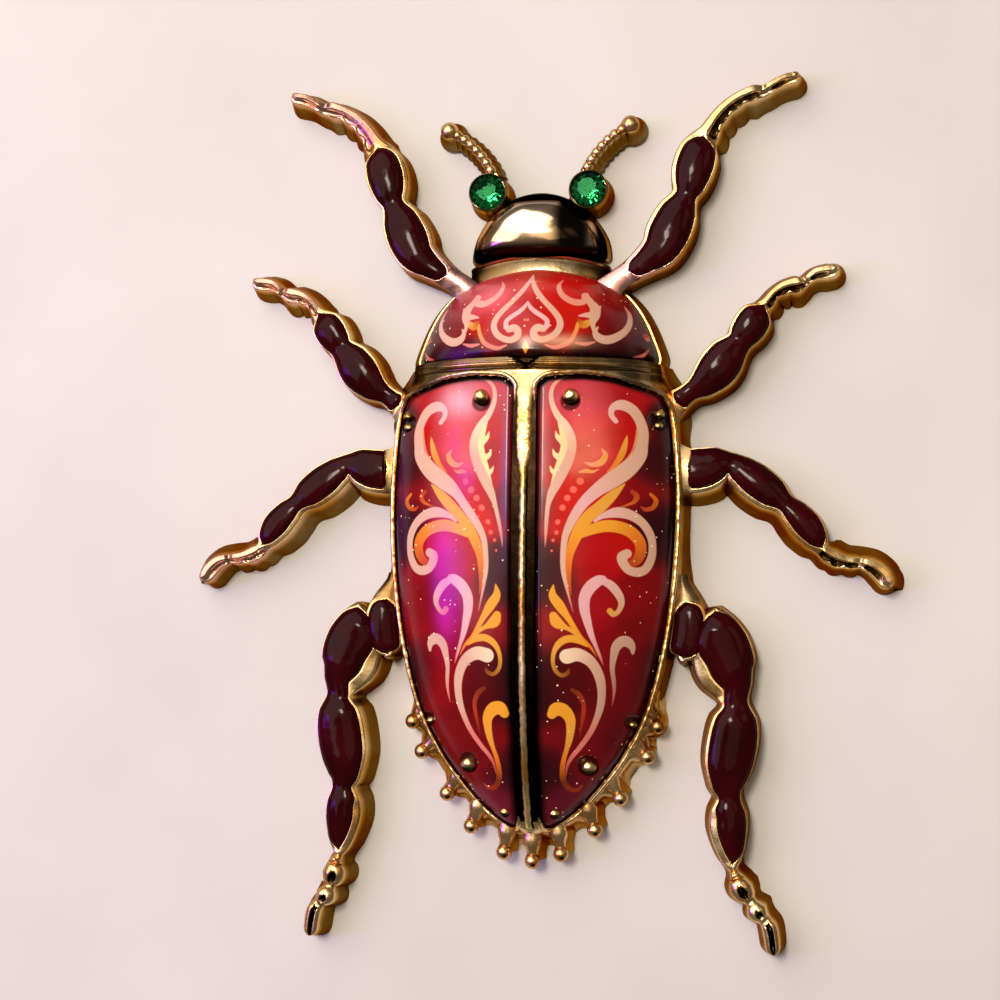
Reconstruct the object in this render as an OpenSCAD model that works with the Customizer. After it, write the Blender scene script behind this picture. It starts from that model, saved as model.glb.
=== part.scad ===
// Beetle brooch: a cast gold-coloured jewel with enamelled legs, two printed wing cases,
// a printed thorax shield, green cut-stone eyes and a pin soldered in its hollow back.
// Lengths are millimetres. The beetle lies on z = 0 with its head towards +Y.

/* [Wing cases] */
// Length from the waist to the end of the tail rim
wing_length = 36.6; // [32:0.2:42]
// Width across both wing cases, over their gold rims
wing_width = 23.3; // [20:0.1:27]
// Height of the back's gold ridge above the rest plane
back_height = 8.7; // [8:0.1:10.5]
// Height of the outer rim above the rest plane
rim_height = 2.7; // [2.4:0.1:3.2]
// Width of the gold rim round each wing case
rim_width = 0.36; // [0.25:0.01:0.6]
// Width of the gold ridge between the wing cases
ridge_width = 1.2; // [0.8:0.05:1.8]
// Thickness of a wing case
case_thickness = 0.85; // [0.6:0.05:1.1]
// How far the gold rims stand above the wing cases
rim_step = 0.2; // [0.1:0.05:0.4]

/* [Thorax shield] */
// Length from the waist edge to the neck
shield_length = 7.9; // [6.5:0.1:9.5]
// Width across the shield
shield_width = 19.5; // [17:0.1:23]
// Height of the shield's crown above the rest plane
shield_height = 8.3; // [7.6:0.1:9.8]
// Height of the shield's lower edge above the rest plane
shield_edge = 1.5; // [1.1:0.1:2]
// Thickness of the shield
shield_thickness = 0.9; // [0.6:0.05:1.1]
// Width of the gold flange round the shield
shield_flange = 0.25; // [0.15:0.05:0.5]

/* [Head] */
// Length of the head from the collar
head_length = 5.6; // [4.8:0.1:6.6]
// Width of the head
head_width = 11; // [9.5:0.1:12.6]
// Height of the head's crown above the rest plane
head_height = 4.4; // [3.6:0.1:5.4]
// Length of the collar between shield and head
collar_length = 0.9; // [0.6:0.1:1.4]
// Height of the collar's crown above the rest plane
collar_height = 3; // [2.4:0.1:3.6]

/* [Eyes] */
// Diameter of an eye stone
eye_size = 2.9; // [2.3:0.1:3.4]
// Distance between the centres of the two eyes
eye_spacing = 8.2; // [7:0.1:9.6]
// Height of an eye cup's lip above the rest plane
eye_height = 3.1; // [2.6:0.1:3.8]
// Width of the lip round an eye stone
eye_lip = 0.25; // [0.15:0.05:0.45]
// Height of a stone's table above its girdle
stone_crown = 0.55; // [0.35:0.05:0.8]
// Depth of a stone below its girdle
stone_depth = 0.85; // [0.6:0.05:1.1]

/* [Antennae] */
// Length of an antenna from its eye cup to its end ball
antenna_length = 4.8; // [3.5:0.1:6.5]
// Direction of an antenna, from +X
antenna_angle = 44; // [30:1:60]
// How far an antenna bows towards the middle
antenna_bow = 0.4; // [0:0.05:0.8]
// Diameter of an antenna bead
antenna_bead = 0.84; // [0.6:0.02:1.1]
// Number of beads on an antenna
antenna_beads = 7; // [4:1:9]
// Diameter of an antenna's end ball
antenna_ball = 1.5; // [1.1:0.05:2]

/* [Legs] */
// Length of a front leg
front_length = 21.7; // [18:0.1:26]
// Direction of a front leg, from +X
front_angle = 47; // [40:0.5:54]
// Greatest width of a front leg
front_width = 3.75; // [3:0.05:4.4]
// Length of a second leg
second_length = 15.9; // [13:0.1:19]
// Direction of a second leg
second_angle = 38.6; // [32:0.5:44]
// Greatest width of a second leg
second_width = 3.35; // [2.7:0.05:4]
// Length of a third leg
third_length = 18.1; // [15:0.1:22]
// Direction of a third leg
third_angle = -29; // [-36:0.5:-22]
// Greatest width of a third leg
third_width = 3.5; // [2.9:0.05:4.2]
// Length of a rear leg
rear_length = 26.8; // [22:0.1:31]
// Direction of a rear leg
rear_angle = -81.4; // [-88:0.2:-75]
// Greatest width of a rear leg
rear_width = 4.85; // [4:0.05:5.6]
// Height of the legs above the rest plane
leg_height = 3; // [2.6:0.1:3.6]
// Height of a foot's sloping shoulders below its crest
foot_slope = 0.35; // [0.15:0.05:0.6]
// How far every cast wall leans out on its way down
draft = 0.55; // [0.2:0.05:0.8]
// Depth of the enamel pools in the legs
pool_depth = 0.9; // [0.6:0.05:1.4]
// How far the enamel bulges above its rim
pool_bulge = 0.35; // [0.15:0.05:0.6]

/* [Tail and grains] */
// Diameter of a ball on the tail
tail_ball = 1.2; // [0.9:0.05:1.5]
// Height of the tail balls' centres
tail_height = 2.3; // [1.8:0.1:2.8]
// Diameter of a tail post
tail_post = 0.75; // [0.5:0.05:1]
// How far the skirt under the tail balls reaches beyond the rim
tail_skirt = 1.05; // [0.6:0.05:1.5]
// Height of the tail skirt's upper edge
skirt_height = 1.7; // [1.2:0.1:2.2]
// Diameter of the gold grains on the wing cases
grain_size = 1.1; // [0.8:0.05:1.4]

/* [Back and pin] */
// Thickness of the cast shell over its hollow back
shell_wall = 1; // [0.8:0.05:1.3]
// Width of the shell's edge round the hollow
edge_wall = 1.3; // [1:0.05:1.8]
// Distance of the pin bar's front end from the waist
pin_start = 2.4; // [1.5:0.1:5]
// Length of the pin's bar
bar_length = 18.4; // [14:0.2:19]
// Width of the pin's bar
bar_width = 3; // [2:0.1:3.6]
// Thickness of the pin's bar
bar_thickness = 1; // [0.7:0.1:1.3]
// Length of the two blocks that hold the pin's wire
block_length = 2.2; // [1.6:0.1:3]
// Diameter of the pin's wire
wire_size = 0.9; // [0.6:0.05:1.1]
// Height of the wire's centre above the rest plane
wire_height = 1.8; // [1.3:0.1:2.4]
// Thickness of the sleeve round the pin's wire
sleeve_wall = 0.35; // [0.25:0.05:0.5]
// Length of the pin's tapered point
point_length = 1.8; // [1:0.1:2.6]
// Gap between a piece and the metal that holds it
clearance = 0.05; // [0.03:0.01:0.1]

/* [Hidden] */

gold = "#c99a45";
maroon = "#3c0a10";
red = "#b5141c";
green = "#0f6b34";
steel = "#b9b4a6";

// Shape of a dome across its width: 0.5 is a half ellipse, 1 a parabola
wing_power = 0.6;
shield_power = 0.72;
head_power = 0.5;

// Share of the rim's height that is lost towards the tail's end
tail_droop = 0.2;
// Height of the hollow's side edges
hollow_edge = 0.4;
// How far a cut goes on beyond the form that it cuts
spare = 1;
// Overlap of two forms that are cast as one
seam = 0.1;
// Height of the head's side edges
head_edge = 1.1;
// Depth of an enamel pool's edge below its gold rim
pool_drop = 0.1;

// Outline of the cast pan. Columns: share of wing_length from the waist, share of half the
// wing_width, share of back_height at the ridge.
pan_rows = [
    [-0.02, 0.85, 0.945], [0.02, 0.87, 0.95], [0.06, 0.93, 0.96], [0.11, 0.966, 0.975],
    [0.17, 0.987, 0.985], [0.28, 1.004, 1.0], [0.4, 0.994, 1.0], [0.52, 0.956, 0.985],
    [0.64, 0.886, 0.94], [0.75, 0.784, 0.86], [0.84, 0.635, 0.75], [0.91, 0.466, 0.63],
    [0.96, 0.315, 0.53], [0.988, 0.19, 0.46], [1.0, 0.1, 0.42]
];

// Outline of one wing case. Columns: share of wing_length, share of half the wing_width at
// the inner edge beyond the ridge, the same at the outer edge over the rim.
case_rows = [
    [0.0235, 0.28, 0.42], [0.027, 0.1, 0.56], [0.035, 0.035, 0.67], [0.047, 0.0, 0.79],
    [0.06, 0.0, 0.9], [0.077, 0.0, 0.935], [0.11, 0.0, 0.962], [0.17, 0.0, 0.983],
    [0.28, 0.0, 1.0], [0.4, 0.0, 0.99], [0.52, 0.0, 0.952], [0.64, 0.0, 0.882],
    [0.75, 0.0, 0.78], [0.84, 0.0, 0.631], [0.91, 0.0, 0.462], [0.95, 0.0, 0.345],
    [0.975, 0.005, 0.245], [0.988, 0.02, 0.18]
];

// Thorax shield. Columns: share of shield_length, share of half the shield_width, share of
// shield_height.
shield_rows = [
    [0.0, 0.99, 1.0], [0.08, 1.0, 1.0], [0.25, 0.955, 0.985], [0.45, 0.885, 0.93],
    [0.62, 0.8, 0.84], [0.77, 0.68, 0.71], [0.88, 0.51, 0.56], [0.95, 0.33, 0.43],
    [1.0, 0.12, 0.3]
];

// Head. Columns: share of head_length, share of half the head_width, share of head_height.
head_rows = [
    [0.0, 0.9, 0.5], [0.08, 0.965, 0.66], [0.2, 1.0, 0.84], [0.36, 0.99, 0.97],
    [0.55, 0.93, 1.0], [0.72, 0.82, 0.92], [0.86, 0.64, 0.74], [0.95, 0.42, 0.52],
    [1.0, 0.16, 0.36]
];

// Legs. Columns: share of the leg's length, share of the length to the left of its chord,
// share of its greatest width.
front_rows = [
    [-0.08, 0.0, 0.7], [0.0, -0.002, 0.5], [0.06, -0.016, 0.46], [0.13, -0.032, 0.63],
    [0.2, -0.04, 0.9], [0.27, -0.02, 1.0], [0.34, 0.005, 0.88], [0.4, 0.025, 0.6],
    [0.44, 0.042, 0.76], [0.49, 0.068, 0.9], [0.55, 0.096, 0.8], [0.6, 0.114, 0.44],
    [0.64, 0.128, 0.37], [0.72, 0.126, 0.24], [0.8, 0.114, 0.24], [0.865, 0.083, 0.28],
    [0.908, 0.06, 0.19], [0.94, 0.046, 0.26], [0.975, 0.022, 0.25], [0.995, 0.0, 0.14]
];
second_rows = [
    [-0.12, 0.0, 1.0], [0.0, -0.002, 0.5], [0.07, -0.004, 0.5], [0.145, -0.01, 0.76],
    [0.235, 0.0, 1.0], [0.32, 0.022, 0.94], [0.405, 0.038, 0.64], [0.45, 0.052, 0.76],
    [0.5, 0.067, 0.8], [0.555, 0.083, 0.64], [0.61, 0.094, 0.28], [0.65, 0.1, 0.26],
    [0.73, 0.105, 0.24], [0.79, 0.085, 0.33], [0.85, 0.064, 0.2], [0.9, 0.06, 0.25],
    [0.945, 0.048, 0.25], [0.985, 0.015, 0.17]
];
third_rows = [
    [-0.1, 0.0, 1.25], [0.0, 0.008, 0.97], [0.06, 0.045, 1.0], [0.11, 0.092, 0.88],
    [0.153, 0.12, 0.58], [0.2, 0.12, 0.7], [0.28, 0.109, 0.83], [0.37, 0.096, 0.77],
    [0.44, 0.083, 0.5], [0.5, 0.068, 0.62], [0.575, 0.042, 0.65], [0.64, 0.012, 0.42],
    [0.685, -0.004, 0.26], [0.74, -0.006, 0.32], [0.8, 0.006, 0.29], [0.858, 0.026, 0.24],
    [0.9, 0.036, 0.31], [0.945, 0.028, 0.32], [0.985, 0.0, 0.22]
];
rear_rows = [
    [-0.015, 0.0, 0.12], [0.015, 0.0, 0.46], [0.045, 0.0, 0.7], [0.08, 0.0, 0.89],
    [0.14, 0.001, 1.0], [0.18, 0.002, 0.94], [0.23, 0.012, 0.68], [0.272, 0.016, 0.44],
    [0.315, 0.01, 0.7], [0.375, -0.006, 0.81], [0.45, -0.03, 0.76], [0.508, -0.043, 0.55],
    [0.54, -0.043, 0.385], [0.58, -0.049, 0.54], [0.625, -0.056, 0.59], [0.673, -0.059, 0.49],
    [0.716, -0.059, 0.32], [0.754, -0.06, 0.23], [0.795, -0.052, 0.38], [0.843, -0.032, 0.2],
    [0.874, -0.022, 0.34], [0.9, -0.006, 0.22], [0.94, 0.008, 0.24], [0.98, 0.002, 0.19]
];
// Hip of the rear leg, which lies along the pan
hip_rows = [
    [-0.05, 0.0, 0.4], [0.06, 0.01, 0.5], [0.33, 0.08, 0.98], [0.55, 0.12, 1.2],
    [0.78, 0.09, 1.2], [0.9, 0.05, 0.98], [0.98, 0.03, 0.8]
];

waist_gap = 0.07 * shield_length;
wing_half = wing_width / 2;
shield_half = shield_width / 2;
shield_front = waist_gap + shield_length;
head_start = shield_front + collar_length;
eye_at = [eye_spacing / 2, head_start + 0.96 * head_length];
antenna_root = eye_at + [-0.04 * eye_size, 0.68 * eye_size];
recess = case_thickness + rim_step + clearance;
// How far the thorax's core lies in from the shield's edge, and down into the flange
core_inset = 0.6 * shield_thickness;
core_sink = 0.4;
hip_width = 0.48 * rear_width;
hip_length = 0.175 * wing_length;

// Columns: base point, length, direction, greatest width, rows, the shares of the length
// where the enamel pool starts and ends, its rounding there.
front_leg = [[0.65 * shield_half, waist_gap + 0.85 * shield_length], front_length, front_angle,
    front_width, front_rows, 0.045, 0.597, 0.05];
second_leg = [[0.985 * wing_half, -0.063 * wing_length], second_length, second_angle,
    second_width, second_rows, 0.03, 0.605, 0.06];
third_leg = [[1.03 * wing_half, -0.221 * wing_length], third_length, third_angle,
    third_width, third_rows, 0.0, 0.67, 0.05];
rear_leg = [[wing_half + 0.5645 * rear_width, -0.519 * wing_length], rear_length, rear_angle,
    rear_width, rear_rows, 0.0, 0.722, 0.035];
rear_hip = [[wing_half, -0.45 * wing_length], hip_length, -90,
    hip_width, hip_rows, -0.02, 0.96, 0.1];

// Number of steps along each leg, and along its enamel pool
front_steps = 24;
second_steps = 22;
third_steps = 24;
rear_steps = 30;
hip_steps = 6;
front_pool = 13;
second_pool = 12;
third_pool = 14;
rear_pool = 16;

// Tail balls. Columns: share of half the wing_width, share of wing_length.
tail_rows = [[0.845, 0.768], [0.778, 0.833], [0.597, 0.923], [0.426, 0.992], [0.197, 1.046]];
tail_focus = [0, -0.62 * wing_length];
tail_middle = [0, -1.063 * wing_length];

// Grains on one wing case. Columns: share of half the wing_width, share of wing_length.
grain_rows = [[0.302, 0.071], [0.86, 0.115], [0.7, 0.765], [0.4, 0.855], [0.15, 0.955]];

// Smooth value of a table's column at share t of its first column
function row_before(rows, t, i = 0) =
    i >= len(rows) - 2 || t < rows[i + 1][0] ? i : row_before(rows, t, i + 1);
function row_slope(rows, column, i) =
    let (a = max(i - 1, 0), b = min(i + 1, len(rows) - 1))
    (rows[b][column] - rows[a][column]) / (rows[b][0] - rows[a][0]);
function smooth(rows, column, t) =
    let (
        i = row_before(rows, t),
        step = rows[i + 1][0] - rows[i][0],
        u = min(max((t - rows[i][0]) / step, 0), 1)
    )
    (2 * u ^ 3 - 3 * u ^ 2 + 1) * rows[i][column]
        + (3 * u ^ 2 - 2 * u ^ 3) * rows[i + 1][column]
        + (u ^ 3 - 2 * u ^ 2 + u) * step * row_slope(rows, column, i)
        + (u ^ 3 - u ^ 2) * step * row_slope(rows, column, i + 1);
function first_share(rows) = rows[0][0];
function last_share(rows) = rows[len(rows) - 1][0];

// Shares from a to b in n steps, the first closer together at both ends
function eased(a, b, n) = [for (i = [0 : n]) a + (b - a) * (1 - cos(180 * i / n)) / 2];
function even(a, b, n) = [for (i = [0 : n]) a + (b - a) * i / n];
function clamp(v) = min(max(v, 0), 1);

// Height across a dome at share u of its half width
function dome(edge, crown, power, u) = edge + (crown - edge) * max(1 - u * u, 0) ^ power;

// The cast pan at share t of its length: half width, rim height, crown height, skin height
function pan_half(t) = smooth(pan_rows, 1, t) * wing_half;
function pan_edge(t) = rim_height * (1 - tail_droop * clamp((t - 0.6) / 0.4));
function pan_crown(t) = smooth(pan_rows, 2, t) * back_height;
function pan_skin(x, t) =
    dome(pan_edge(t), pan_crown(t), wing_power, clamp(abs(x) / pan_half(t)));

// The thorax shield at share t of its length: half width and crown height
function shield_side(t) = smooth(shield_rows, 1, t) * shield_half;
function shield_crown(t) = smooth(shield_rows, 2, t) * shield_height;

// Solid through rings of equally many points
module loft(rings) {
    n = len(rings[0]);
    last = len(rings) - 1;
    polyhedron(
        points = [for (ring = rings) each ring],
        faces = concat(
            [[for (i = [0 : n - 1]) i]],
            [[for (i = [n - 1 : -1 : 0]) last * n + i]],
            [for (k = [0 : last - 1], i = [0 : n - 1])
                let (a = k * n + i, b = k * n + (i + 1) % n)
                [a, a + n, b]],
            [for (k = [0 : last - 1], i = [0 : n - 1])
                let (b = k * n + (i + 1) % n)
                [b, k * n + i + n, b + n]]
        )
    );
}

// Ring across a dome at y: from one foot over the crown to the other
function dome_ring(y, half, edge, crown, power, lean, foot, count) = concat(
    [[-half - lean, y, foot]],
    [for (a = even(-90, 90, count)) [half * sin(a), y, dome(edge, crown, power, sin(a))]],
    [[half + lean, y, foot]]
);

// Left and right copies of what lies at +X
module both_sides() {
    children();
    mirror([1, 0, 0]) children();
}

// Cast pan under the wing cases, with the skin that becomes ridge and rims
module pan() {
    rings = 24;
    start = (clearance - waist_gap) / wing_length;
    loft([for (i = [rings : -1 : 0])
        let (t = start + (1 - start) * sin(90 * i / rings))
        dome_ring(-t * wing_length, pan_half(t), pan_edge(t), pan_crown(t), wing_power,
            draft, 0, 16)]);
}

// Hollow of the pan, open below
module pan_hollow() {
    loft([for (t = even(0.93, -0.03, 12))
        dome_ring(-t * wing_length, max(pan_half(t) - edge_wall, 0.5 * edge_wall), hollow_edge,
            pan_crown(t) - recess - shell_wall, wing_power, 0, -spare, 12)]);
}

// Column of height over one wing case: across from its inner to its outer edge.
// grow widens it, under and over are its heights from the pan's skin.
module case_column(grow, under, over, over_flat) {
    inner = ridge_width / 2 + rim_width - grow;
    outer = grow - rim_width;
    across = 6;
    shares = eased(first_share(case_rows), last_share(case_rows), 22);
    last = len(shares) - 1;
    loft([for (i = [0 : last])
        let (
            t = shares[i],
            push = i == 0 ? grow : i == last ? -grow : 0,
            y = -t * wing_length + push,
            xs = even(inner + smooth(case_rows, 1, t) * wing_half,
                outer + smooth(case_rows, 2, t) * wing_half, across)
        )
        concat(
            [for (x = xs) [x, y, pan_skin(x, t) + under]],
            [for (k = [across : -1 : 0])
                [xs[k], y, over_flat ? back_height + spare : pan_skin(xs[k], t) + over]]
        )]);
}

// One wing case, with holes where the gold grains come through
module wing_case() {
    difference() {
        case_column(0, clearance - recess, -rim_step, false);
        for (row = grain_rows)
            translate(grain_at(row))
                cylinder(d = grain_size + 2 * clearance, h = back_height, $fn = 10);
    }
}

function grain_at(row) = [row.x * wing_half, -row.y * wing_length, 0];

// Gold grains, each a domed post standing in the pan
module grains() {
    for (row = grain_rows)
        translate(grain_at(row) + [0, 0, pan_skin(row.x * wing_half, row.y)]) {
            translate([0, 0, -recess - rim_step])
                cylinder(d = grain_size, h = recess + rim_step, $fn = 10);
            sphere(d = grain_size, $fn = 10);
        }
}

// Thorax: a flange, and a core that carries the shield
module thorax() {
    top = shield_edge - clearance;
    loft([for (t = eased(-0.12, 1.03, 14))
        dome_ring(waist_gap + t * shield_length, shield_side(t) + shield_flange, top, top, 1,
            draft, 0, 2)]);
    thorax_core(0);
}

module thorax_core(grow) {
    loft([for (t = eased(-0.12, 0.93, 12))
        dome_ring(waist_gap + t * shield_length, shield_side(t) - core_inset - clearance + grow,
            shield_edge - core_sink, shield_crown(t) - shield_thickness - clearance + grow,
            shield_power, 0, core_sink, 12)]);
}

// Hollow of the thorax, open below
module thorax_hollow() {
    loft([for (t = eased(-0.2, 0.5, 5))
        dome_ring(waist_gap + t * shield_length, shield_side(t) - edge_wall - core_inset,
            hollow_edge, shield_crown(t) - shield_thickness - shell_wall, shield_power,
            0, -spare, 10)]);
}

// Outer form of the shield, filled, with a margin all round
module shield_form(margin) {
    steps = 15;
    shares = eased(0, 1, steps);
    loft([for (i = [0 : steps])
        let (t = shares[i], push = i == 0 ? -margin : i == steps ? margin : 0)
        dome_ring(waist_gap + t * shield_length + push, shield_side(t) + margin,
            shield_edge + clearance + margin, shield_crown(t) + margin, shield_power,
            0, shield_edge - margin, 16)]);
}

module thorax_shield() {
    color(red)
        placed() difference() {
            shield_form(0);
            thorax_core(clearance);
        }
}

// Head dome on its collar
module head() {
    lean = draft / 2;
    loft([for (t = eased(0, 1, 10))
        dome_ring(head_start - seam + t * head_length, smooth(head_rows, 1, t) * head_width / 2,
            head_edge, max(smooth(head_rows, 2, t) * head_height, head_edge + seam),
            head_power, lean, 0, 12)]);
    loft([for (y = [shield_front - core_inset, head_start])
        dome_ring(y, 0.53 * head_width, head_edge, collar_height, head_power, lean, 0, 12)]);
}

// Cup that holds an eye stone, on a neck from the head
module eye_cup() {
    lip = eye_size / 2 + eye_lip;
    seat = stone_depth + clearance;
    hull() {
        wall_foot(eye_at, 0.6 * lip, eye_height - seat - shell_wall / 2);
        wall_foot([0.2 * head_width, head_start + 0.6 * head_length], 0.6 * lip,
            eye_height - seat - shell_wall / 2);
    }
    translate(eye_at)
        difference() {
            cylinder(r1 = lip + draft / 2, r2 = lip, h = eye_height, $fn = 20);
            translate([0, 0, eye_height - seat])
                cylinder(r = eye_size / 2 + clearance, h = seat + spare, $fn = 20);
        }
}

// Round cut stone: a flat table, eight main facets, break facets and a blunt back
module eye_stone() {
    girdle = 0.12;
    translate([each eye_at, eye_height])
        hull() {
            cylinder(d = eye_size, h = girdle, $fn = 16);
            rotate([0, 0, 22.5]) cylinder(d = 0.6 * eye_size, h = stone_crown, $fn = 8);
            translate([0, 0, -stone_depth])
                cylinder(d = 0.3 * eye_size, h = girdle, $fn = 8);
        }
}

// Middle of an antenna at share s of its length
function antenna_at(s) =
    let (a = antenna_angle, aside = 4 * antenna_bow * s * (1 - s))
    antenna_root + s * antenna_length * [cos(a), sin(a)] + aside * [-sin(a), cos(a)];

// Antenna: a leaning wall, a row of beads and an end ball
module antenna() {
    lift = leg_height - antenna_ball / 2;
    bead = antenna_bead / 2;
    for (s = [0, 1 / 3, 2 / 3])
        hull() {
            wall_foot(antenna_at(s), 0.8 * bead, lift);
            wall_foot(antenna_at(s + 1 / 3), 0.8 * bead, lift);
        }
    for (s = even(0, 1 - 0.5 * antenna_ball / antenna_length, antenna_beads - 1))
        translate([each antenna_at(s), lift]) sphere(r = bead, $fn = 8);
    wall_foot(antenna_at(1), 0.45 * antenna_ball, lift);
    translate([each antenna_at(1), lift]) sphere(d = antenna_ball, $fn = 12);
}

// Post with a leaning wall, from the rest plane up
module wall_foot(at, radius, height) {
    translate(at)
        cylinder(r1 = radius + draft, r2 = radius, h = height, $fn = 10);
}

// One tail ball on its post, which starts inside the pan
module tail_stud(at) {
    out = (at - tail_focus) / norm(at - tail_focus);
    hull() {
        wall_foot(at, tail_post / 2, tail_height);
        wall_foot(at - 2 * tail_ball * out, tail_post / 2, tail_height);
    }
    translate([each at, tail_height]) sphere(d = tail_ball, $fn = 10);
}

// Rim of the tail, pushed out by a share of the skirt's reach that grows towards the middle
function skirt_ring(reach, z) =
    let (
        right = [for (t = even(0.66, 1, 12))
            let (
                p = [pan_half(t), -t * wing_length],
                out = (p - tail_focus) / norm(p - tail_focus)
            )
            p + reach * clamp((t - 0.66) / 0.08) * out]
    )
    concat(
        [for (p = right) [p.x, p.y, z]],
        [for (i = [len(right) - 1 : -1 : 0]) [-right[i].x, right[i].y, z]]
    );

module tail() {
    loft([skirt_ring(tail_skirt, skirt_height), skirt_ring(tail_skirt + draft, 0)]);
    both_sides()
        for (row = tail_rows) tail_stud([row.x * wing_half, -row.y * wing_length]);
    tail_stud(tail_middle);
}

// Centre line, side direction and half width of a leg at share t of its length
function leg_at(leg, t) =
    let (a = leg[2], along = t * leg[1], aside = smooth(leg[4], 1, t) * leg[1])
    leg[0] + along * [cos(a), sin(a)] + aside * [-sin(a), cos(a)];
function leg_side(leg, t) =
    let (d = leg_at(leg, t + 0.01) - leg_at(leg, t - 0.01))
    [-d.y, d.x] / norm(d);
function leg_half(leg, t) = smooth(leg[4], 2, t) * leg[3] / 2;

// Upright ring across a leg. offsets holds pairs of a side offset and a height.
function leg_ring(leg, t, offsets) =
    let (at = leg_at(leg, t), side = leg_side(leg, t))
    [for (o = offsets) [each at + o.x * side, o.y]];

// Rings of a leg's cast body: its walls lean out, and past the enamel its top is a crest
function leg_rings(leg, steps) =
    [for (t = even(first_share(leg[4]), last_share(leg[4]), steps))
        let (
            half = leg_half(leg, t),
            top = leg_height - foot_slope * clamp((t - leg[6]) / 0.06)
        )
        leg_ring(leg, t, [
            [half + draft, 0], [half, top], [0, leg_height], [-half, top], [-half - draft, 0]
        ])];

// Half width of a leg's enamel pool, which is round at both ends
function pool_half(leg, t) =
    let (round = clamp(min(t - leg[5], leg[6] - t) / leg[7]))
    max(leg_half(leg, t) - rim_width, rim_width) * sqrt(1 - (1 - max(round, 0.05)) ^ 2);

module pool_cut(leg, steps) {
    floor_z = leg_height - pool_depth;
    loft([for (t = eased(leg[5], leg[6], steps))
        let (half = pool_half(leg, t))
        leg_ring(leg, t, [
            [half, floor_z], [half, leg_height + spare], [-half, leg_height + spare], [-half, floor_z]
        ])]);
}

// Enamel in a pool: its edge lies below the rim, and its middle bulges
module pool_fill(leg, steps) {
    ends = clearance / leg[1];
    low = leg_height - pool_depth + clearance;
    edge = leg_height - pool_drop;
    loft([for (t = eased(leg[5] + ends, leg[6] - ends, steps))
        let (
            half = max(pool_half(leg, t) - clearance, clearance),
            rise = pool_bulge * min(half, 1)
        )
        leg_ring(leg, t, [
            [half, low], [half, edge], [0.6 * half, edge + 0.75 * rise], [0, edge + rise],
            [-0.6 * half, edge + 0.75 * rise], [-half, edge], [-half, low]
        ])]);
}

// The whole model is centred between its front and rear claws here
function reach(leg, steps) = [for (ring = leg_rings(leg, steps)) each [for (p = ring) p.y]];
middle_y = (max(reach(front_leg, front_steps)) + min(reach(rear_leg, rear_steps))) / 2;

module placed() {
    translate([0, -middle_y, 0]) children();
}

module casting() {
    color(gold)
        placed() {
            difference() {
                union() {
                    pan();
                    thorax();
                    head();
                    tail();
                    both_sides() {
                        eye_cup();
                        antenna();
                        loft(leg_rings(front_leg, front_steps));
                        loft(leg_rings(second_leg, second_steps));
                        loft(leg_rings(third_leg, third_steps));
                        loft(leg_rings(rear_leg, rear_steps));
                        loft(leg_rings(rear_hip, hip_steps));
                    }
                }
                both_sides() {
                    case_column(clearance, -recess, 0, true);
                    pool_cut(front_leg, front_pool);
                    pool_cut(second_leg, second_pool);
                    pool_cut(third_leg, third_pool);
                    pool_cut(rear_leg, rear_pool);
                    pool_cut(rear_hip, hip_steps);
                }
                difference() {
                    shield_form(clearance);
                    thorax_core(0);
                }
                pan_hollow();
                thorax_hollow();
            }
            both_sides() grains();
        }
}

// One side's piece: children are drawn at +X, and mirrored for the left
module one_side(left) {
    placed() mirror([left ? 1 : 0, 0, 0]) children();
}

module enamel(leg, steps, left) {
    color(maroon) one_side(left) pool_fill(leg, steps);
}

module enamel_rear(left) {
    color(maroon) one_side(left) {
        pool_fill(rear_leg, rear_pool);
        pool_fill(rear_hip, hip_steps);
    }
}

module wing(left) {
    color(red) one_side(left) wing_case();
}

module stone(left) {
    color(green) one_side(left) eye_stone();
}

// Pin: a bar under the shell, with two blocks that hold the wire
module pin_back() {
    ceiling = min([for (y = even(pin_start, pin_start + bar_length, 6))
        let (t = y / wing_length)
        dome(hollow_edge, pan_crown(t) - recess - shell_wall, wing_power,
            bar_width / 2 / (pan_half(t) - edge_wall))]);
    bar_top = ceiling - 2 * clearance;
    wire_front = -pin_start - block_length / 4;
    wire_length = bar_length + block_length / 2;
    blocks = [-pin_start, -pin_start - bar_length + block_length];
    color(steel)
        placed() {
            translate([-bar_width / 2, -pin_start - bar_length, bar_top - bar_thickness])
                cube([bar_width, bar_length, bar_thickness]);
            for (y = blocks) {
                translate([-block_length / 2, y - block_length, wire_height])
                    cube([block_length, block_length, bar_top - wire_height]);
                translate([0, y, wire_height])
                    rotate([90, 0, 0])
                        cylinder(d = wire_size + 2 * sleeve_wall, h = block_length, $fn = 40);
            }
            translate([0, wire_front, wire_height])
                rotate([90, 0, 0]) cylinder(d = wire_size, h = wire_length, $fn = 32);
            translate([0, wire_front - wire_length, wire_height])
                rotate([90, 0, 0])
                    cylinder(d1 = wire_size, d2 = 0.2 * wire_size, h = point_length, $fn = 32);
        }
}

casting();
wing(true);  // wing_case_left
wing(false);  // wing_case_right
thorax_shield();
enamel(front_leg, front_pool, true);  // enamel_front_left
enamel(front_leg, front_pool, false);  // enamel_front_right
enamel(second_leg, second_pool, true);  // enamel_second_left
enamel(second_leg, second_pool, false);  // enamel_second_right
enamel(third_leg, third_pool, true);  // enamel_third_left
enamel(third_leg, third_pool, false);  // enamel_third_right
enamel_rear(true);  // enamel_rear_left
enamel_rear(false);  // enamel_rear_right
stone(true);  // eye_stone_left
stone(false);  // eye_stone_right
pin_back();
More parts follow.
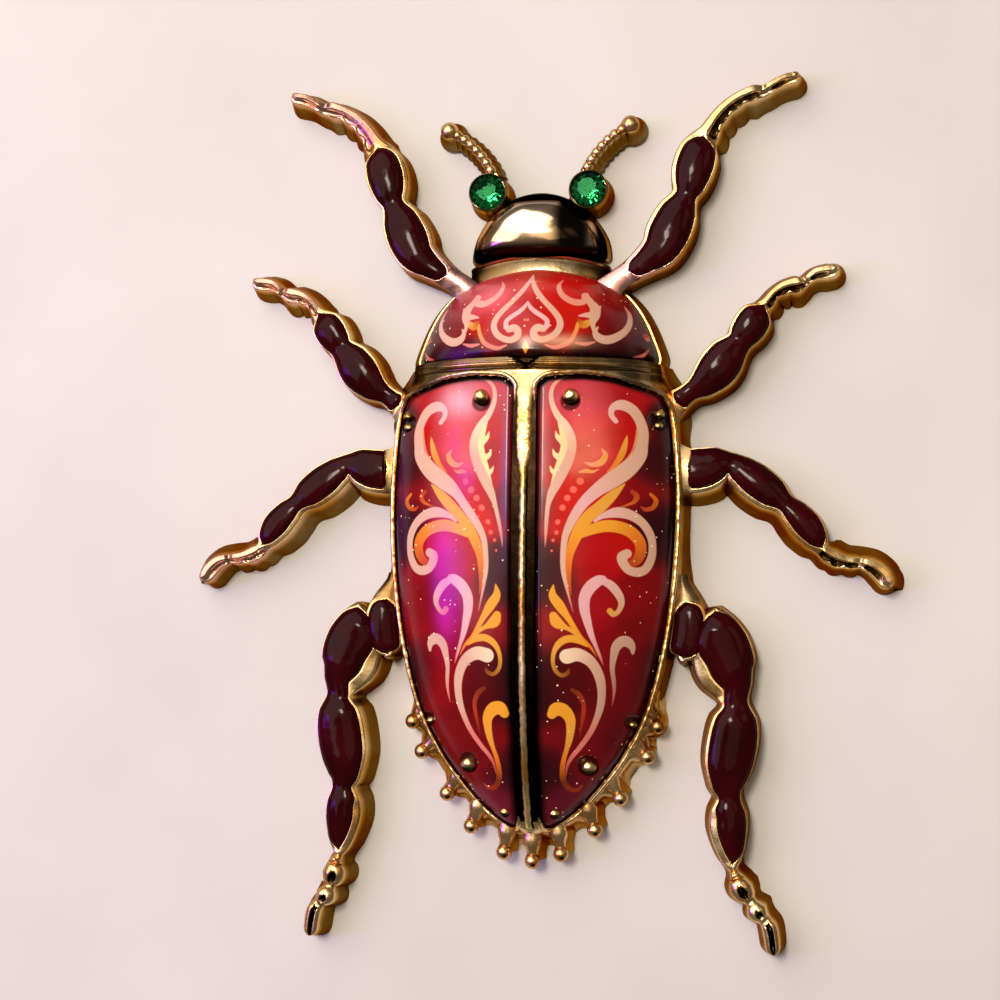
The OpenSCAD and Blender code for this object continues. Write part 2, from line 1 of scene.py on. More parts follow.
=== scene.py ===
"""Insect brooch: a cast gold-coloured beetle with enamelled legs, printed wing cases, a printed
thorax shield, green cut-stone eyes and a pin in its hollow back. Forms are worked out in the
beetle's own millimetres (x = 0 is its middle, y = 0 its waist, +y its head, z = 0 the rest
plane) and go into the frame with place().
"""
from math import cos, pi, radians, sin
import bpy
import numpy as np
from mathutils import Matrix, Vector


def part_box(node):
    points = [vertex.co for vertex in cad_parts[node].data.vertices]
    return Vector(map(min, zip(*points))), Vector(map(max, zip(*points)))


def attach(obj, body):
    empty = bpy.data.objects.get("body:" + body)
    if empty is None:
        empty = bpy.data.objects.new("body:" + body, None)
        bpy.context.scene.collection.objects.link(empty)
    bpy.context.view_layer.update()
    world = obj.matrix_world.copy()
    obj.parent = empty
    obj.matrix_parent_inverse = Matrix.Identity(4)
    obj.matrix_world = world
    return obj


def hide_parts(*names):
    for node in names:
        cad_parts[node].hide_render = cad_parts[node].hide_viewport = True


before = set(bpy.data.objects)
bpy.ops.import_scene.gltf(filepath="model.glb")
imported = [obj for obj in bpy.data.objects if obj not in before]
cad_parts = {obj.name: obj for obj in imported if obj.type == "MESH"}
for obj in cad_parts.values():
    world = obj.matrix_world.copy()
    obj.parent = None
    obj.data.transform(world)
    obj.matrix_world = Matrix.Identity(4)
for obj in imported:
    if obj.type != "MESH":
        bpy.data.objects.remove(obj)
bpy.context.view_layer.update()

# Sizes of the part's source, in millimetres
WING_LENGTH, WING_HALF = 36.6, 11.65
BACK_HEIGHT, RIM_HEIGHT = 8.7, 2.7
RIM_WIDTH, RIDGE_WIDTH, RIM_STEP, CASE_THICKNESS = 0.36, 1.2, 0.2, 0.85
SHIELD_LENGTH, SHIELD_HALF, SHIELD_HEIGHT = 7.9, 9.75, 8.3
SHIELD_EDGE, SHIELD_THICKNESS, SHIELD_FLANGE = 1.5, 0.9, 0.25
HEAD_LENGTH, HEAD_HALF, HEAD_HEIGHT, COLLAR_LENGTH, COLLAR_HEIGHT = 5.6, 5.5, 4.4, 0.9, 3.0
EYE_SIZE, EYE_HEIGHT, STONE_CROWN, STONE_DEPTH = 2.9, 3.1, 0.55, 0.85
ANTENNA_LENGTH, ANTENNA_ANGLE, ANTENNA_BOW = 4.8, 44, 0.4
ANTENNA_BEAD, ANTENNA_BEADS, ANTENNA_BALL = 0.84, 7, 1.5
LEG_HEIGHT, DRAFT, REAR_WIDTH = 3.0, 0.55, 4.85
TAIL_BALL, TAIL_HEIGHT, TAIL_SKIRT = 1.2, 2.3, 1.05
EDGE_WALL, SHELL_WALL, HOLLOW_EDGE, CLEARANCE = 1.3, 1.0, 0.4, 0.05
WING_POWER, SHIELD_POWER, HEAD_POWER, HEAD_EDGE = 0.6, 0.72, 0.5, 1.1
WAIST = 0.07 * SHIELD_LENGTH
RECESS = CASE_THICKNESS + RIM_STEP + CLEARANCE
SHIELD_FRONT = WAIST + SHIELD_LENGTH
HEAD_START = SHIELD_FRONT + COLLAR_LENGTH
EYE_AT = np.array([4.1, HEAD_START + 0.96 * HEAD_LENGTH])
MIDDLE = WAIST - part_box("thorax_shield")[0].y * 1000
# Levels of the soles: no two forms that overlap end in one plane
SOLES = dict(hip=0.03, back=0.06, tail=0.09, post=0.11, thorax=0.12, collar=0.15, head=0.18,
    eye_cup=0.21, eye_neck=0.24, antenna=0.27, antenna_foot=0.3)
# Steps along a leg, its enamel, the hip and the hip's enamel
LEG_STEPS, POOL_STEPS, HIP_STEPS, HIP_POOL_STEPS = 190, 100, 54, 46

# Rows: share of the length, then shares of the half width and of the height
PAN_ROWS = [
    [-0.02, 0.85, 0.945], [0.02, 0.87, 0.95], [0.06, 0.93, 0.96], [0.11, 0.966, 0.975],
    [0.17, 0.987, 0.985], [0.28, 1.004, 1.0], [0.4, 0.994, 1.0], [0.52, 0.956, 0.985],
    [0.64, 0.886, 0.94], [0.75, 0.784, 0.86], [0.84, 0.635, 0.75], [0.91, 0.466, 0.63],
    [0.96, 0.315, 0.53], [0.988, 0.19, 0.46], [1.0, 0.1, 0.42]]
# Here the inner and the outer side, as shares of the half width
CASE_ROWS = [
    [0.0235, 0.28, 0.42], [0.027, 0.1, 0.56], [0.035, 0.035, 0.67], [0.047, 0.0, 0.79],
    [0.06, 0.0, 0.9], [0.077, 0.0, 0.935], [0.11, 0.0, 0.962], [0.17, 0.0, 0.983],
    [0.28, 0.0, 1.0], [0.4, 0.0, 0.99], [0.52, 0.0, 0.952], [0.64, 0.0, 0.882],
    [0.75, 0.0, 0.78], [0.84, 0.0, 0.631], [0.91, 0.0, 0.462], [0.95, 0.0, 0.345],
    [0.975, 0.005, 0.245], [0.988, 0.02, 0.18]]
SHIELD_ROWS = [
    [0.0, 0.99, 1.0], [0.08, 1.0, 1.0], [0.25, 0.955, 0.985], [0.45, 0.885, 0.93],
    [0.62, 0.8, 0.84], [0.77, 0.68, 0.71], [0.88, 0.51, 0.56], [0.95, 0.33, 0.43],
    [1.0, 0.12, 0.3]]
HEAD_ROWS = [
    [0.0, 0.97, 0.6], [0.05, 1.0, 0.8], [0.14, 1.0, 0.94], [0.3, 0.97, 1.0],
    [0.45, 0.9, 1.0], [0.6, 0.8, 0.97], [0.75, 0.66, 0.87], [0.87, 0.5, 0.7],
    [0.95, 0.34, 0.52], [1.0, 0.16, 0.36]]
# Legs. Rows: share of the length, share of it to the left of the chord, share of the width.
# Pool: start, end, how far it rounds off there. Rims and lean: left, right; lean of the foot too.
# Notch: share of the foot before its claw, and the number of pits before it. Shade: how dark
# the root's painted shade is.
LEGS = {
    "front": dict(base=(0.65 * SHIELD_HALF, WAIST + 0.85 * SHIELD_LENGTH), length=21.7, angle=47,
        width=3.75, pool=(0.06, 0.603, 0.035, 0.04), rims=(0.4, 0.2), lean=(0.2, 0.15, 0.6, 0.55),
        notch=(0.71, 4), rows=[
        [-0.08, 0.0, 0.7], [0.0, -0.002, 0.5], [0.06, -0.016, 0.5], [0.13, -0.032, 0.66],
        [0.2, -0.04, 0.9], [0.27, -0.02, 1.0], [0.34, 0.005, 0.88], [0.4, 0.025, 0.6],
        [0.44, 0.042, 0.78], [0.49, 0.07, 0.92], [0.55, 0.1, 0.87], [0.59, 0.115, 0.66],
        [0.63, 0.123, 0.44], [0.7, 0.135, 0.35], [0.757, 0.132, 0.33], [0.81, 0.117, 0.31],
        [0.85, 0.096, 0.33], [0.878, 0.074, 0.27], [0.914, 0.062, 0.24], [0.95, 0.047, 0.26],
        [0.98, 0.026, 0.26]]),
    "second": dict(base=(0.985 * WING_HALF, -0.063 * WING_LENGTH), length=15.9, angle=38.6,
        width=3.35, pool=(-0.02, 0.61, 0.03, 0.05), rims=(0.26, 0.14), lean=(0.3, 0.3, 0.6, 0.55),
        notch=(0.63, 3), rows=[
        [-0.12, 0.0, 1.0], [0.0, -0.002, 0.58], [0.07, -0.004, 0.52], [0.145, -0.01, 0.78],
        [0.235, 0.0, 1.0], [0.32, 0.022, 0.94], [0.405, 0.038, 0.66], [0.45, 0.052, 0.78],
        [0.5, 0.067, 0.85], [0.555, 0.085, 0.78], [0.595, 0.096, 0.5], [0.63, 0.103, 0.32],
        [0.697, 0.116, 0.27], [0.75, 0.108, 0.33], [0.8, 0.084, 0.38], [0.838, 0.07, 0.28],
        [0.861, 0.068, 0.23], [0.91, 0.063, 0.29], [0.955, 0.038, 0.34], [0.98, 0.022, 0.31]]),
    "third": dict(base=(1.03 * WING_HALF, -0.221 * WING_LENGTH), length=18.1, angle=-29,
        width=3.5, shade=0.5, pool=(0.008, 0.665, 0.012, 0.04), rims=(0.12, 0.42),
        lean=(0.15, 0.85, 0.95, 0.45), notch=(0.57, 3), rows=[
        [-0.1, 0.0, 1.0], [0.0, 0.008, 1.02], [0.06, 0.045, 1.02], [0.11, 0.092, 0.88],
        [0.153, 0.12, 0.6], [0.2, 0.12, 0.72], [0.28, 0.109, 0.85], [0.37, 0.096, 0.79],
        [0.44, 0.083, 0.54], [0.5, 0.068, 0.66], [0.575, 0.042, 0.72], [0.64, 0.01, 0.52],
        [0.68, -0.01, 0.3], [0.724, -0.016, 0.37], [0.787, -0.004, 0.29], [0.84, 0.02, 0.26],
        [0.892, 0.029, 0.34], [0.94, 0.019, 0.38], [0.97, 0.004, 0.35]]),
    "rear": dict(base=(WING_HALF + 0.5645 * REAR_WIDTH, -0.519 * WING_LENGTH), length=26.8,
        angle=-81.4, width=REAR_WIDTH, pool=(0.0, 0.727, 0.03, 0.04), rims=(0.1, 0.3),
        lean=(0.15, 0.5, 0.45, 0.5), notch=(0, 0), rows=[
        [-0.015, 0.0, 0.12], [0.015, 0.0, 0.46], [0.045, 0.0, 0.7], [0.08, 0.0, 0.89],
        [0.14, 0.001, 1.0], [0.18, 0.002, 0.94], [0.23, 0.012, 0.68], [0.272, 0.016, 0.44],
        [0.315, 0.01, 0.7], [0.375, -0.006, 0.81], [0.45, -0.03, 0.76], [0.508, -0.043, 0.55],
        [0.54, -0.043, 0.4], [0.58, -0.049, 0.56], [0.625, -0.056, 0.6],
        [0.673, -0.059, 0.5], [0.716, -0.061, 0.33], [0.745, -0.06, 0.15], [0.76, -0.056, 0.17],
        [0.772, -0.053, 0.26], [0.803, -0.05, 0.39], [0.828, -0.041, 0.3], [0.843, -0.035, 0.18],
        [0.855, -0.031, 0.27], [0.871, -0.025, 0.35], [0.888, -0.014, 0.26], [0.9, -0.006, 0.21],
        [0.92, 0.003, 0.25], [0.95, 0.005, 0.25], [0.975, 0.004, 0.24]]),
}
HIP = dict(base=(WING_HALF, -0.45 * WING_LENGTH), length=0.175 * WING_LENGTH, angle=-90,
    width=0.48 * REAR_WIDTH, shade=0.35, pool=(0.3, 0.97, 0.12, 0.1), rims=(0.3, 0.12),
    lean=(0.2, 0.3, 0.2, 0.3), notch=(0, 0), rows=[
    [-0.05, 0.0, 0.4], [0.06, 0.01, 0.5], [0.33, 0.08, 0.98], [0.55, 0.12, 1.2],
    [0.78, 0.09, 1.2], [0.88, 0.06, 1.1], [0.95, 0.05, 0.8], [0.99, 0.04, 0.3]])
# Tail balls: shares of the half width and of the length
TAIL_ROWS = [[0.845, 0.768], [0.778, 0.833], [0.597, 0.923], [0.426, 0.992], [0.197, 1.046]]
TAIL_FOCUS = np.array([0, -0.62 * WING_LENGTH])


# Curves and heights
def hermite(x, y, t):
    """Smooth value through the points (x, y) at t."""
    x, y, t = (np.asarray(v, float) for v in (x, y, t))
    slope = np.gradient(y) * 0
    slope[1:-1] = (y[2:] - y[:-2]) / (x[2:] - x[:-2])
    slope[0], slope[-1] = (y[1] - y[0]) / (x[1] - x[0]), (y[-1] - y[-2]) / (x[-1] - x[-2])
    i = np.clip(np.searchsorted(x, t, side="right") - 1, 0, len(x) - 2)
    step = x[i + 1] - x[i]
    u = np.clip((t - x[i]) / step, 0, 1)
    return ((2 * u**3 - 3 * u**2 + 1) * y[i] + (3 * u**2 - 2 * u**3) * y[i + 1]
        + (u**3 - 2 * u**2 + u) * step * slope[i] + (u**3 - u**2) * step * slope[i + 1])


def column(rows, k, t):
    """Smooth value of a table's column k at shares t."""
    rows = np.array(rows)
    return hermite(rows[:, 0], rows[:, k], t)


def ease(t, low, high):
    """0 below low, 1 above high, smooth between."""
    u = np.clip((np.asarray(t, float) - low) / (high - low), 0, 1)
    return u * u * (3 - 2 * u)


def hill(value, at, wide):
    """1 at a place and close to 0 beyond about twice that width."""
    return np.exp(-((value - at) / wide) ** 2)


def arc(n):
    """n values from -1 to 1, closer together near both."""
    return np.sin(np.linspace(-pi / 2, pi / 2, n))


def eased(a, b, n):
    """n + 1 values from a to b, closer together near both."""
    return a + (b - a) * (1 - np.cos(pi * np.arange(n + 1) / n)) / 2


def dome(edge, crown, power, u):
    """Height across a dome, from its edges at u = -1 and 1 to its crown at 0."""
    return edge + (crown - edge) * np.maximum(1 - u * u, 0) ** power


def pan_half(t):
    return column(PAN_ROWS, 1, t) * WING_HALF


def pan_edge(t):
    return RIM_HEIGHT * (1 - 0.2 * np.clip((t - 0.6) / 0.4, 0, 1))


def pan_crown(t):
    return column(PAN_ROWS, 2, t) * BACK_HEIGHT


def pan_skin(x, y):
    """Height of the back's skin, the level of its rims, at a place in plan."""
    t = -np.asarray(y, float) / WING_LENGTH
    return dome(pan_edge(t), pan_crown(t), WING_POWER, np.clip(abs(x) / pan_half(t), 0, 1))


def ripple(points, size, seed, waves=14):
    """Smooth uneven values near -1 to 1, with features of about that size."""
    rng = np.random.default_rng(seed)
    k = rng.normal(size=(waves, 3))
    k *= (2 * pi / size) * rng.uniform(0.6, 1.5, (waves, 1)) / np.linalg.norm(k, axis=1)[:, None]
    return np.sin(points @ k.T + rng.uniform(0, 2 * pi, waves)).sum(1) / (waves / 2) ** 0.5


# Forms
class Shape:
    """Points and faces in the beetle's millimetres, put together from several forms."""

    def __init__(self):
        self.points, self.faces, self.count = [], [], 0

    def add(self, points, faces):
        points = np.asarray(points, float).reshape(-1, 3)
        self.faces += [[i + self.count for i in face] for face in faces]
        self.points.append(points)
        self.count += len(points)
        return self

    def sheet(self, points, turn=False):
        """Open grid of points (rows, columns, 3)."""
        n, m = points.shape[:2]
        a = (np.arange(n - 1)[:, None] * m + np.arange(m - 1)).ravel()
        quads = np.stack([a, a + 1, a + 1 + m, a + m], 1)
        return self.add(points, (quads[:, ::-1] if turn else quads).tolist())

    def loft(self, rings, turn=False):
        """Tube through closed rings (rings, points, 3), with flat ends."""
        n, m = rings.shape[:2]
        j = np.arange(m)
        a = (np.arange(n - 1)[:, None] * m + j).ravel()
        b = (np.arange(n - 1)[:, None] * m + (j + 1) % m).ravel()
        quads = np.stack([a, b, b + m, a + m], 1)
        quads = (quads[:, ::-1] if turn else quads).tolist()
        ends = [j[::-1].tolist(), (j + (n - 1) * m).tolist()]
        return self.add(rings, quads + ([e[::-1] for e in ends] if turn else ends))

    def foot(self, name, more=0):
        """Lifts the last form's sole to its own level."""
        self.points[-1][:, 2] = np.maximum(self.points[-1][:, 2], SOLES[name] + more)
        return self

    def ball(self, centre, radius, rings=14, around=24):
        a = np.linspace(0.06, pi - 0.06, rings)[:, None]
        b = np.linspace(0, 2 * pi, around, endpoint=False)[None]
        unit = np.stack([np.sin(a) * np.cos(b), np.sin(a) * np.sin(b), -np.cos(a) + 0 * b], -1)
        return self.loft(np.array(centre) + radius * unit)

    def all_points(self):
        return np.concatenate(self.points)

    def mirrored(self):
        other = Shape()
        points = self.all_points() * [-1, 1, 1]
        return other.add(points, [face[::-1] for face in self.faces])


def section(at, side, aside, height):
    """Points across a line at a place in plan: how far aside, and how high."""
    return np.concatenate([at + aside[:, None] * side, height[:, None]], 1)


def place(points):
    """The beetle's millimetres in the frame's metres."""
    return (points - [0, MIDDLE, 0]) * 0.001


def make(name, shape, material, slot, nodes, sharp=40, values=None, colours=None):
    """One piece of the brooch, which stands for CAD nodes and rides on the body."""
    mesh = bpy.data.meshes.new(name)
    points = place(shape.all_points())
    mesh.from_pydata(points.tolist(), [], shape.faces)
    for key, data in (values or {}).items():
        mesh.attributes.new(key, "FLOAT", "POINT").data.foreach_set("value", data)
    for key, data in (colours or {}).items():
        data = np.concatenate([data, np.ones((len(data), 1))], 1).ravel()
        mesh.attributes.new(key, "FLOAT_COLOR", "POINT").data.foreach_set("color", data)
    mesh.validate()
    mesh.shade_smooth()
    if sharp:
        mesh.set_sharp_from_angle(angle=radians(sharp))
    mesh.materials.append(material)
    piece = bpy.data.objects.new(name, mesh)
    bpy.context.scene.collection.objects.link(piece)
    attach(piece, "root")
    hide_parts(*nodes)
    return piece


def both(name, shape, material, slot, nodes, **more):
    """A piece on the right and its mirror image on the left."""
    for side, form in (("right", shape), ("left", shape.mirrored())):
        make(f"{name}_{side}", form, material, slot, [n.format(side) for n in nodes], **more)


# Materials
def linear(code):
    """Linear colour of a hex code."""
    parts = [int(code[i:i + 2], 16) / 255 for i in (1, 3, 5)]
    return [p / 12.92 if p <= 0.04045 else ((p + 0.055) / 1.055) ** 2.4 for p in parts]


class Nodes:
    """Short calls for building a node material."""

    def __init__(self, name):
        self.material = bpy.data.materials.new(name)
        self.material.use_nodes = True
        self.tree = self.material.node_tree
        self.shader = self.tree.nodes["Principled BSDF"]

    def new(self, kind, inputs=None, **fields):
        node = self.tree.nodes.new("ShaderNode" + kind)
        for key, value in fields.items():
            setattr(node, key, value)
        for key, value in (inputs or {}).items():
            self.set(node, key, value)
        return node

    def set(self, node, key, value):
        if isinstance(value, bpy.types.NodeSocket):
            self.tree.links.new(value, node.inputs[key])
        else:
            node.inputs[key].default_value = value

    def finish(self, **inputs):
        for key, value in inputs.items():
            self.set(self.shader, key.replace("_", " "), value)
        return self.material

    def at(self):
        return self.new("TexCoord").outputs["Object"]

    def noise(self, scale, detail=3):
        node = self.new("TexNoise", {"Vector": self.at(), "Scale": scale, "Detail": detail})
        return node.outputs["Fac"]

    def spread(self, value, low, high, to_low, to_high, kind="LINEAR"):
        node = self.new("MapRange", {"Value": value, "From Min": low, "From Max": high,
            "To Min": to_low, "To Max": to_high}, interpolation_type=kind)
        return node.outputs["Result"]

    def patches(self, scale, low, high):
        """Value that changes from low to high in soft patches."""
        return self.spread(self.noise(scale), 0.3, 0.7, low, high)

    def mix(self, share, a, b, blend="MIX"):
        node = self.new("Mix", data_type="RGBA", blend_type=blend)
        for key, value in ((0, share), (6, a), (7, b)):
            if not isinstance(value, bpy.types.NodeSocket) and key > 0:
                value = [*value, 1]
            self.set(node, key, value)
        return node.outputs[2]

    def bump(self, height, strength, distance):
        node = self.new("Bump", {"Height": height, "Strength": strength, "Distance": distance})
        return node.outputs["Normal"]

    def math(self, kind, a, b):
        return self.new("Math", {0: a, 1: b}, operation=kind).outputs[0]

    def value(self, name):
        return self.new("Attribute", attribute_name=name).outputs["Fac"]

    def colour(self, name):
        return self.new("Attribute", attribute_name=name).outputs["Color"]


def gold(name, deep, bright, rough_low, rough_high, grain, low_share=0.22):
    """Polished gold-coloured metal, with painted shade browner down its cast walls, near black
    where the painted shade value is 1, and a painted rosy reflection where the rose value is."""
    n = Nodes(name)
    tone = n.mix(n.spread(n.noise(260), 0.35, 0.65, 0, 1), linear(deep), linear(bright))
    height = n.new("SeparateXYZ", {0: n.at()}).outputs[2]
    # Painted shade: darker and browner towards the bottom of the cast walls
    wall_shade = n.spread(height, 0.0016, 0.0028, 1 - low_share, 0, "SMOOTHSTEP")
    tone = n.mix(wall_shade, tone, linear("#3a2a14"))
    # Painted rosy reflection
    tone = n.mix(n.value("rose"), tone, linear("#d4969c"))
    # Painted shade and dark reflections: near black where the value is 1
    tone = n.mix(n.value("recess"), tone, linear("#120a05"))
    rough = n.patches(900, rough_low, rough_high)
    bump = n.bump(n.noise(2600, 4), grain, 0.00006)
    # The painted shade also darkens the tint of the reflections
    return n.finish(Base_Color=tone, Metallic=1.0, Roughness=rough, Normal=bump,
        Specular_Tint=n.mix(n.value("recess"), linear("#c08c50"), linear("#1c140a")))


def enamel():
    n = Nodes("leg_enamel")
    tone = n.mix(n.patches(300, 0, 1), linear("#200204"), linear("#340408"))
    bump = n.bump(n.noise(420, 2), 0.3, 0.00025)
    return n.finish(Base_Color=tone, Roughness=0.5, Specular_IOR_Level=0.0, Coat_Weight=0.2,
        Coat_Roughness=0.11, Coat_IOR=1.45, Coat_Normal=bump)


def stone():
    n = Nodes("green_stone")
    tone = n.mix(n.patches(700, 0, 1), linear("#07361c"), linear("#186c3a"))
    return n.finish(Base_Color=tone, Roughness=0.02, IOR=1.62, Transmission_Weight=1.0,
        Specular_Tint=[*linear("#1f5c38"), 1])


def print_finish():
    """Print under clear resin: ground, warm scrolls, cream scrolls and glitter."""
    n = Nodes("wing_print")
    # The ground and scroll colours carry painted light and shade as well as the print
    shade = n.colour("ground")
    cloud = n.spread(n.noise(350, 4), 0.3, 0.7, 0.72, 1.02)
    shade = n.mix(1.0, shade, n.new("CombineColor", {0: cloud, 1: cloud, 2: cloud}).outputs[0],
        "MULTIPLY")
    for layer in ("warm", "cream"):
        share = n.spread(n.value(layer), -0.045, 0.045, 1, 0, "SMOOTHSTEP")
        shade = n.mix(share, shade, n.colour(layer + "_colour"))
    cells = n.new("TexVoronoi", {"Vector": n.at(), "Scale": 2600}, feature="F1")
    lottery = n.new("SeparateColor", {0: cells.outputs["Color"]})
    patch = n.spread(n.noise(190, 3), 0.44, 0.66, 0.95, 0.45)
    size = n.spread(lottery.outputs[1], 0.2, 1, 0.05, 0.2)
    speck = n.math("MULTIPLY", n.math("GREATER_THAN", lottery.outputs[0], patch),
        n.math("LESS_THAN", cells.outputs["Distance"], size))
    shade = n.mix(speck, shade, linear("#ffe8b0"))
    base = n.bump(n.noise(240, 2), 0.1, 0.0004)
    return n.finish(Base_Color=shade, Roughness=0.5, Specular_IOR_Level=0.0, Coat_Weight=0.6,
        Coat_Roughness=0.2, Coat_IOR=1.45, Coat_Normal=base)


def steel():
    n = Nodes("pin_steel")
    tone = n.mix(n.noise(400), linear("#8d897f"), linear("#c9c3b4"))
    return n.finish(Base_Color=tone, Metallic=1.0, Roughness=n.patches(1200, 0.25, 0.42),
        Normal=n.bump(n.noise(3000), 0.2, 0.00005))


GOLD = gold("polished_gold", "#c89858", "#f2d6a0", 0.2, 0.34, 0.25)
GOLD_ROUGH = gold("worn_gold", "#c49240", "#fae2a0", 0.24, 0.42, 0.5)
GOLD_WARM = gold("tail_gold", "#c88a3c", "#f6d29a", 0.2, 0.36, 0.4, 0.7)
GOLD_MIRROR = gold("mirror_gold", "#eac498", "#fae4cc", 0.12, 0.16, 0.06, 0.6)
ENAMEL, STONE, STEEL, PRINT = enamel(), stone(), steel(), print_finish()


def cast(add, name, shape, shade, material=GOLD, sharp=50, **values):
    """A gold piece, or a pair of them, that stands for the casting."""
    # The shade given goes on the piece as painted shade
    add(name, shape, material, "gold", ["casting"], sharp=sharp,
        values=dict(recess=shade, **values))


# Wing cases and back
def case_sides(t):
    """Inner and outer side of the right wing case."""
    inner = RIDGE_WIDTH / 2 + RIM_WIDTH + column(CASE_ROWS, 1, t) * WING_HALF
    return inner, column(CASE_ROWS, 2, t) * WING_HALF - RIM_WIDTH


def case_outline(steps, gap=0.0):
    """Closed outline of the right wing case in plan, in even steps and moved outwards by gap,
    and the directions outwards."""
    t = eased(CASE_ROWS[0][0], CASE_ROWS[-1][0], 900)
    inner, outer = case_sides(t)
    loop = np.concatenate([np.stack([outer, -t * WING_LENGTH], 1),
        np.stack([inner, -t * WING_LENGTH], 1)[::-1]])
    loop = np.concatenate([loop, loop[:1]])
    s = np.concatenate([[0], np.cumsum(np.hypot(*np.diff(loop, axis=0).T))])
    at = np.linspace(0, s[-1], steps, endpoint=False)
    loop = np.stack([np.interp(at, s, loop[:, k]) for k in (0, 1)], 1)
    for _ in range(3):
        loop = (np.roll(loop, 1, 0) + 2 * loop + np.roll(loop, -1, 0)) / 4
    ahead = np.roll(loop, -2, 0) - np.roll(loop, 2, 0)
    ahead /= np.linalg.norm(ahead, axis=1)[:, None]
    out = np.stack([-ahead[:, 1], ahead[:, 0]], 1)
    if np.sum(out * (loop - loop.mean(0))) < 0:
        out = -out
    return loop + gap * out, out


OUTLINE = case_outline(700)[0]


def to_outline(x, y):
    """Distance in plan to the wing case's outline."""
    points = np.stack([np.abs(x).ravel(), np.asarray(y).ravel()], 1).astype(np.float32)
    loop = OUTLINE.astype(np.float32)
    found = [np.min((part[:, None, 0] - loop[None, :, 0]) ** 2
        + (part[:, None, 1] - loop[None, :, 1]) ** 2, axis=1)
        for part in np.array_split(points, max(len(points) // 3000, 1))]
    return np.sqrt(np.concatenate(found)).reshape(np.shape(x))


def in_case(x, y):
    """True where a place in plan lies on a wing case."""
    t = -np.asarray(y) / WING_LENGTH
    inner, outer = case_sides(t)
    inside = (abs(x) > inner) & (abs(x) < outer)
    return inside & (t > CASE_ROWS[0][0]) & (t < CASE_ROWS[-1][0])


def web(y):
    """How far the body's wall swells towards the roots of the legs."""
    roots = ((-1.2, 1.5, 0.9), (-7.6, 1.9, 0.5), (-17.5, 2.2, 0.6), (-3.8, 1.2, 0.5))
    return sum(size * hill(y, at, wide) for at, wide, size in roots)


def back_skin(x, y):
    """Height of the back's top at a place in plan, and how dark its painted shade is."""
    z = pan_skin(x, y) - 0.03
    inside = in_case(x, y)
    z -= RECESS * np.where(inside, ease(to_outline(x, y), 0, 0.12), 0)
    # Waist: a thin lip, a flat band, a groove and a bowl of painted shade before the ridge
    z += 0.14 * hill(y, 0.02, 0.08) - 0.18 * hill(y, -0.3, 0.12) + 0.04 * hill(y, 0.35, 0.15)
    # A three-sided hollow between shield and ridge, in painted shade
    hollow = np.clip((1.15 * (y + 0.5) - abs(x)) / 0.35, 0, 1)
    z -= 0.4 * hollow
    # Painted shade: the groove, the hollow, the band, the outer corners and the bowl near the
    # waist go dark
    groove = 0.75 * hill(y, -0.3, 0.13) * (y > -0.7)
    band = 0.75 * ease(y, -0.62, -0.45) * (1 - hill(y, 0.02, 0.1))
    corners = 0.75 * ease(abs(x), 6.2, 7.6) * ease(y, -1.4, -0.9)
    bowl = 0.82 * ease(y, -2.6, -1.6) * ease(-y, 0.5, 0.8) * (1 - ease(abs(x), 0.9, 1.5))
    dark = np.max([groove, ease(hollow, 0.1, 0.6), band, corners, bowl], axis=0)
    # Painted shade: black inside the wing cases' outline and on the strip between ridge and rims
    between = (abs(x) < RIDGE_WIDTH / 2 + RIM_WIDTH + 0.1) & (y < -2.4) & (y > 1.0 - WING_LENGTH)
    z += 0.01 * ripple(np.stack([x, y, z], -1).reshape(-1, 3), 1.8, 3).reshape(z.shape)
    return z, np.where(inside | between, 1.0, dark)


def back():
    """Back of the beetle, one closed loft with its hollow, and its painted shade."""
    bend = -1.8  # rows are even up to here, then closer together towards the tail
    y = np.concatenate([np.linspace(WAIST - CLEARANCE, bend, 46),
        bend - (WING_LENGTH + bend) * np.sin(pi / 2 * np.arange(1, 181) / 180)])
    t = -y / WING_LENGTH
    half = pan_half(t)
    u, v = arc(121), arc(31)
    x = half[:, None] * u
    yy = np.repeat(y[:, None], len(u), 1)
    z, dark = back_skin(x, yy)
    top = np.stack([x, yy, z], -1)
    # Wall
    k = np.linspace(0, 1, 10)[None, :, None]
    edge, swell = pan_edge(t)[:, None, None], web(y)[:, None, None]
    lean = DRAFT * (1 - k) ** 1.3 + swell * (0.25 + 0.75 * (1 - k) ** 2)
    wall = np.concatenate([half[:, None, None] + lean, yy[:, :1, None] + 0 * k,
        (edge - 0.03) * k], -1)[:, :-1]
    # Hollow
    hollow_half = np.maximum(half - EDGE_WALL, 0.5 * EDGE_WALL)[:, None]
    deep = ((t > 0.01) & (t < 0.93))[:, None]
    roof = dome(HOLLOW_EDGE, pan_crown(t)[:, None] - RECESS - SHELL_WALL, WING_POWER, v[None])
    under = np.stack([hollow_half * v, yy[:, :len(v)], np.where(deep, roof, 0)], -1)
    lip = np.stack([hollow_half[:, 0], y, 0 * y], -1)[:, None]
    flip = np.array([-1, 1, 1])
    rings = np.concatenate([wall * flip, top, wall[:, ::-1], lip, under[:, ::-1], lip * flip], 1)
    shade = np.zeros(rings.shape[:2])
    first = wall.shape[1]
    shade[:, first:first + len(u)] = dark
    return Shape().loft(rings).foot("back"), shade.ravel()


def sweep(path, out, profile):
    """Closed band along a closed path in plan: profile holds (aside, above the skin)."""
    level = pan_skin(path[:, 0], path[:, 1])
    rings = []
    for aside, above in profile:
        at = path + aside * out
        rings.append(np.stack([at[:, 0], at[:, 1], level + above], 1))
    rings = np.stack(rings, 1)
    n, m = rings.shape[:2]
    i, j = np.arange(n)[:, None], np.arange(m)[None]
    corners = [i * m + j, (i + 1) % n * m + j, (i + 1) % n * m + (j + 1) % m,
        i * m + (j + 1) % m]
    quads = np.stack([np.broadcast_to(c, (n, m)).ravel() for c in corners], 1)
    return rings, quads.tolist()


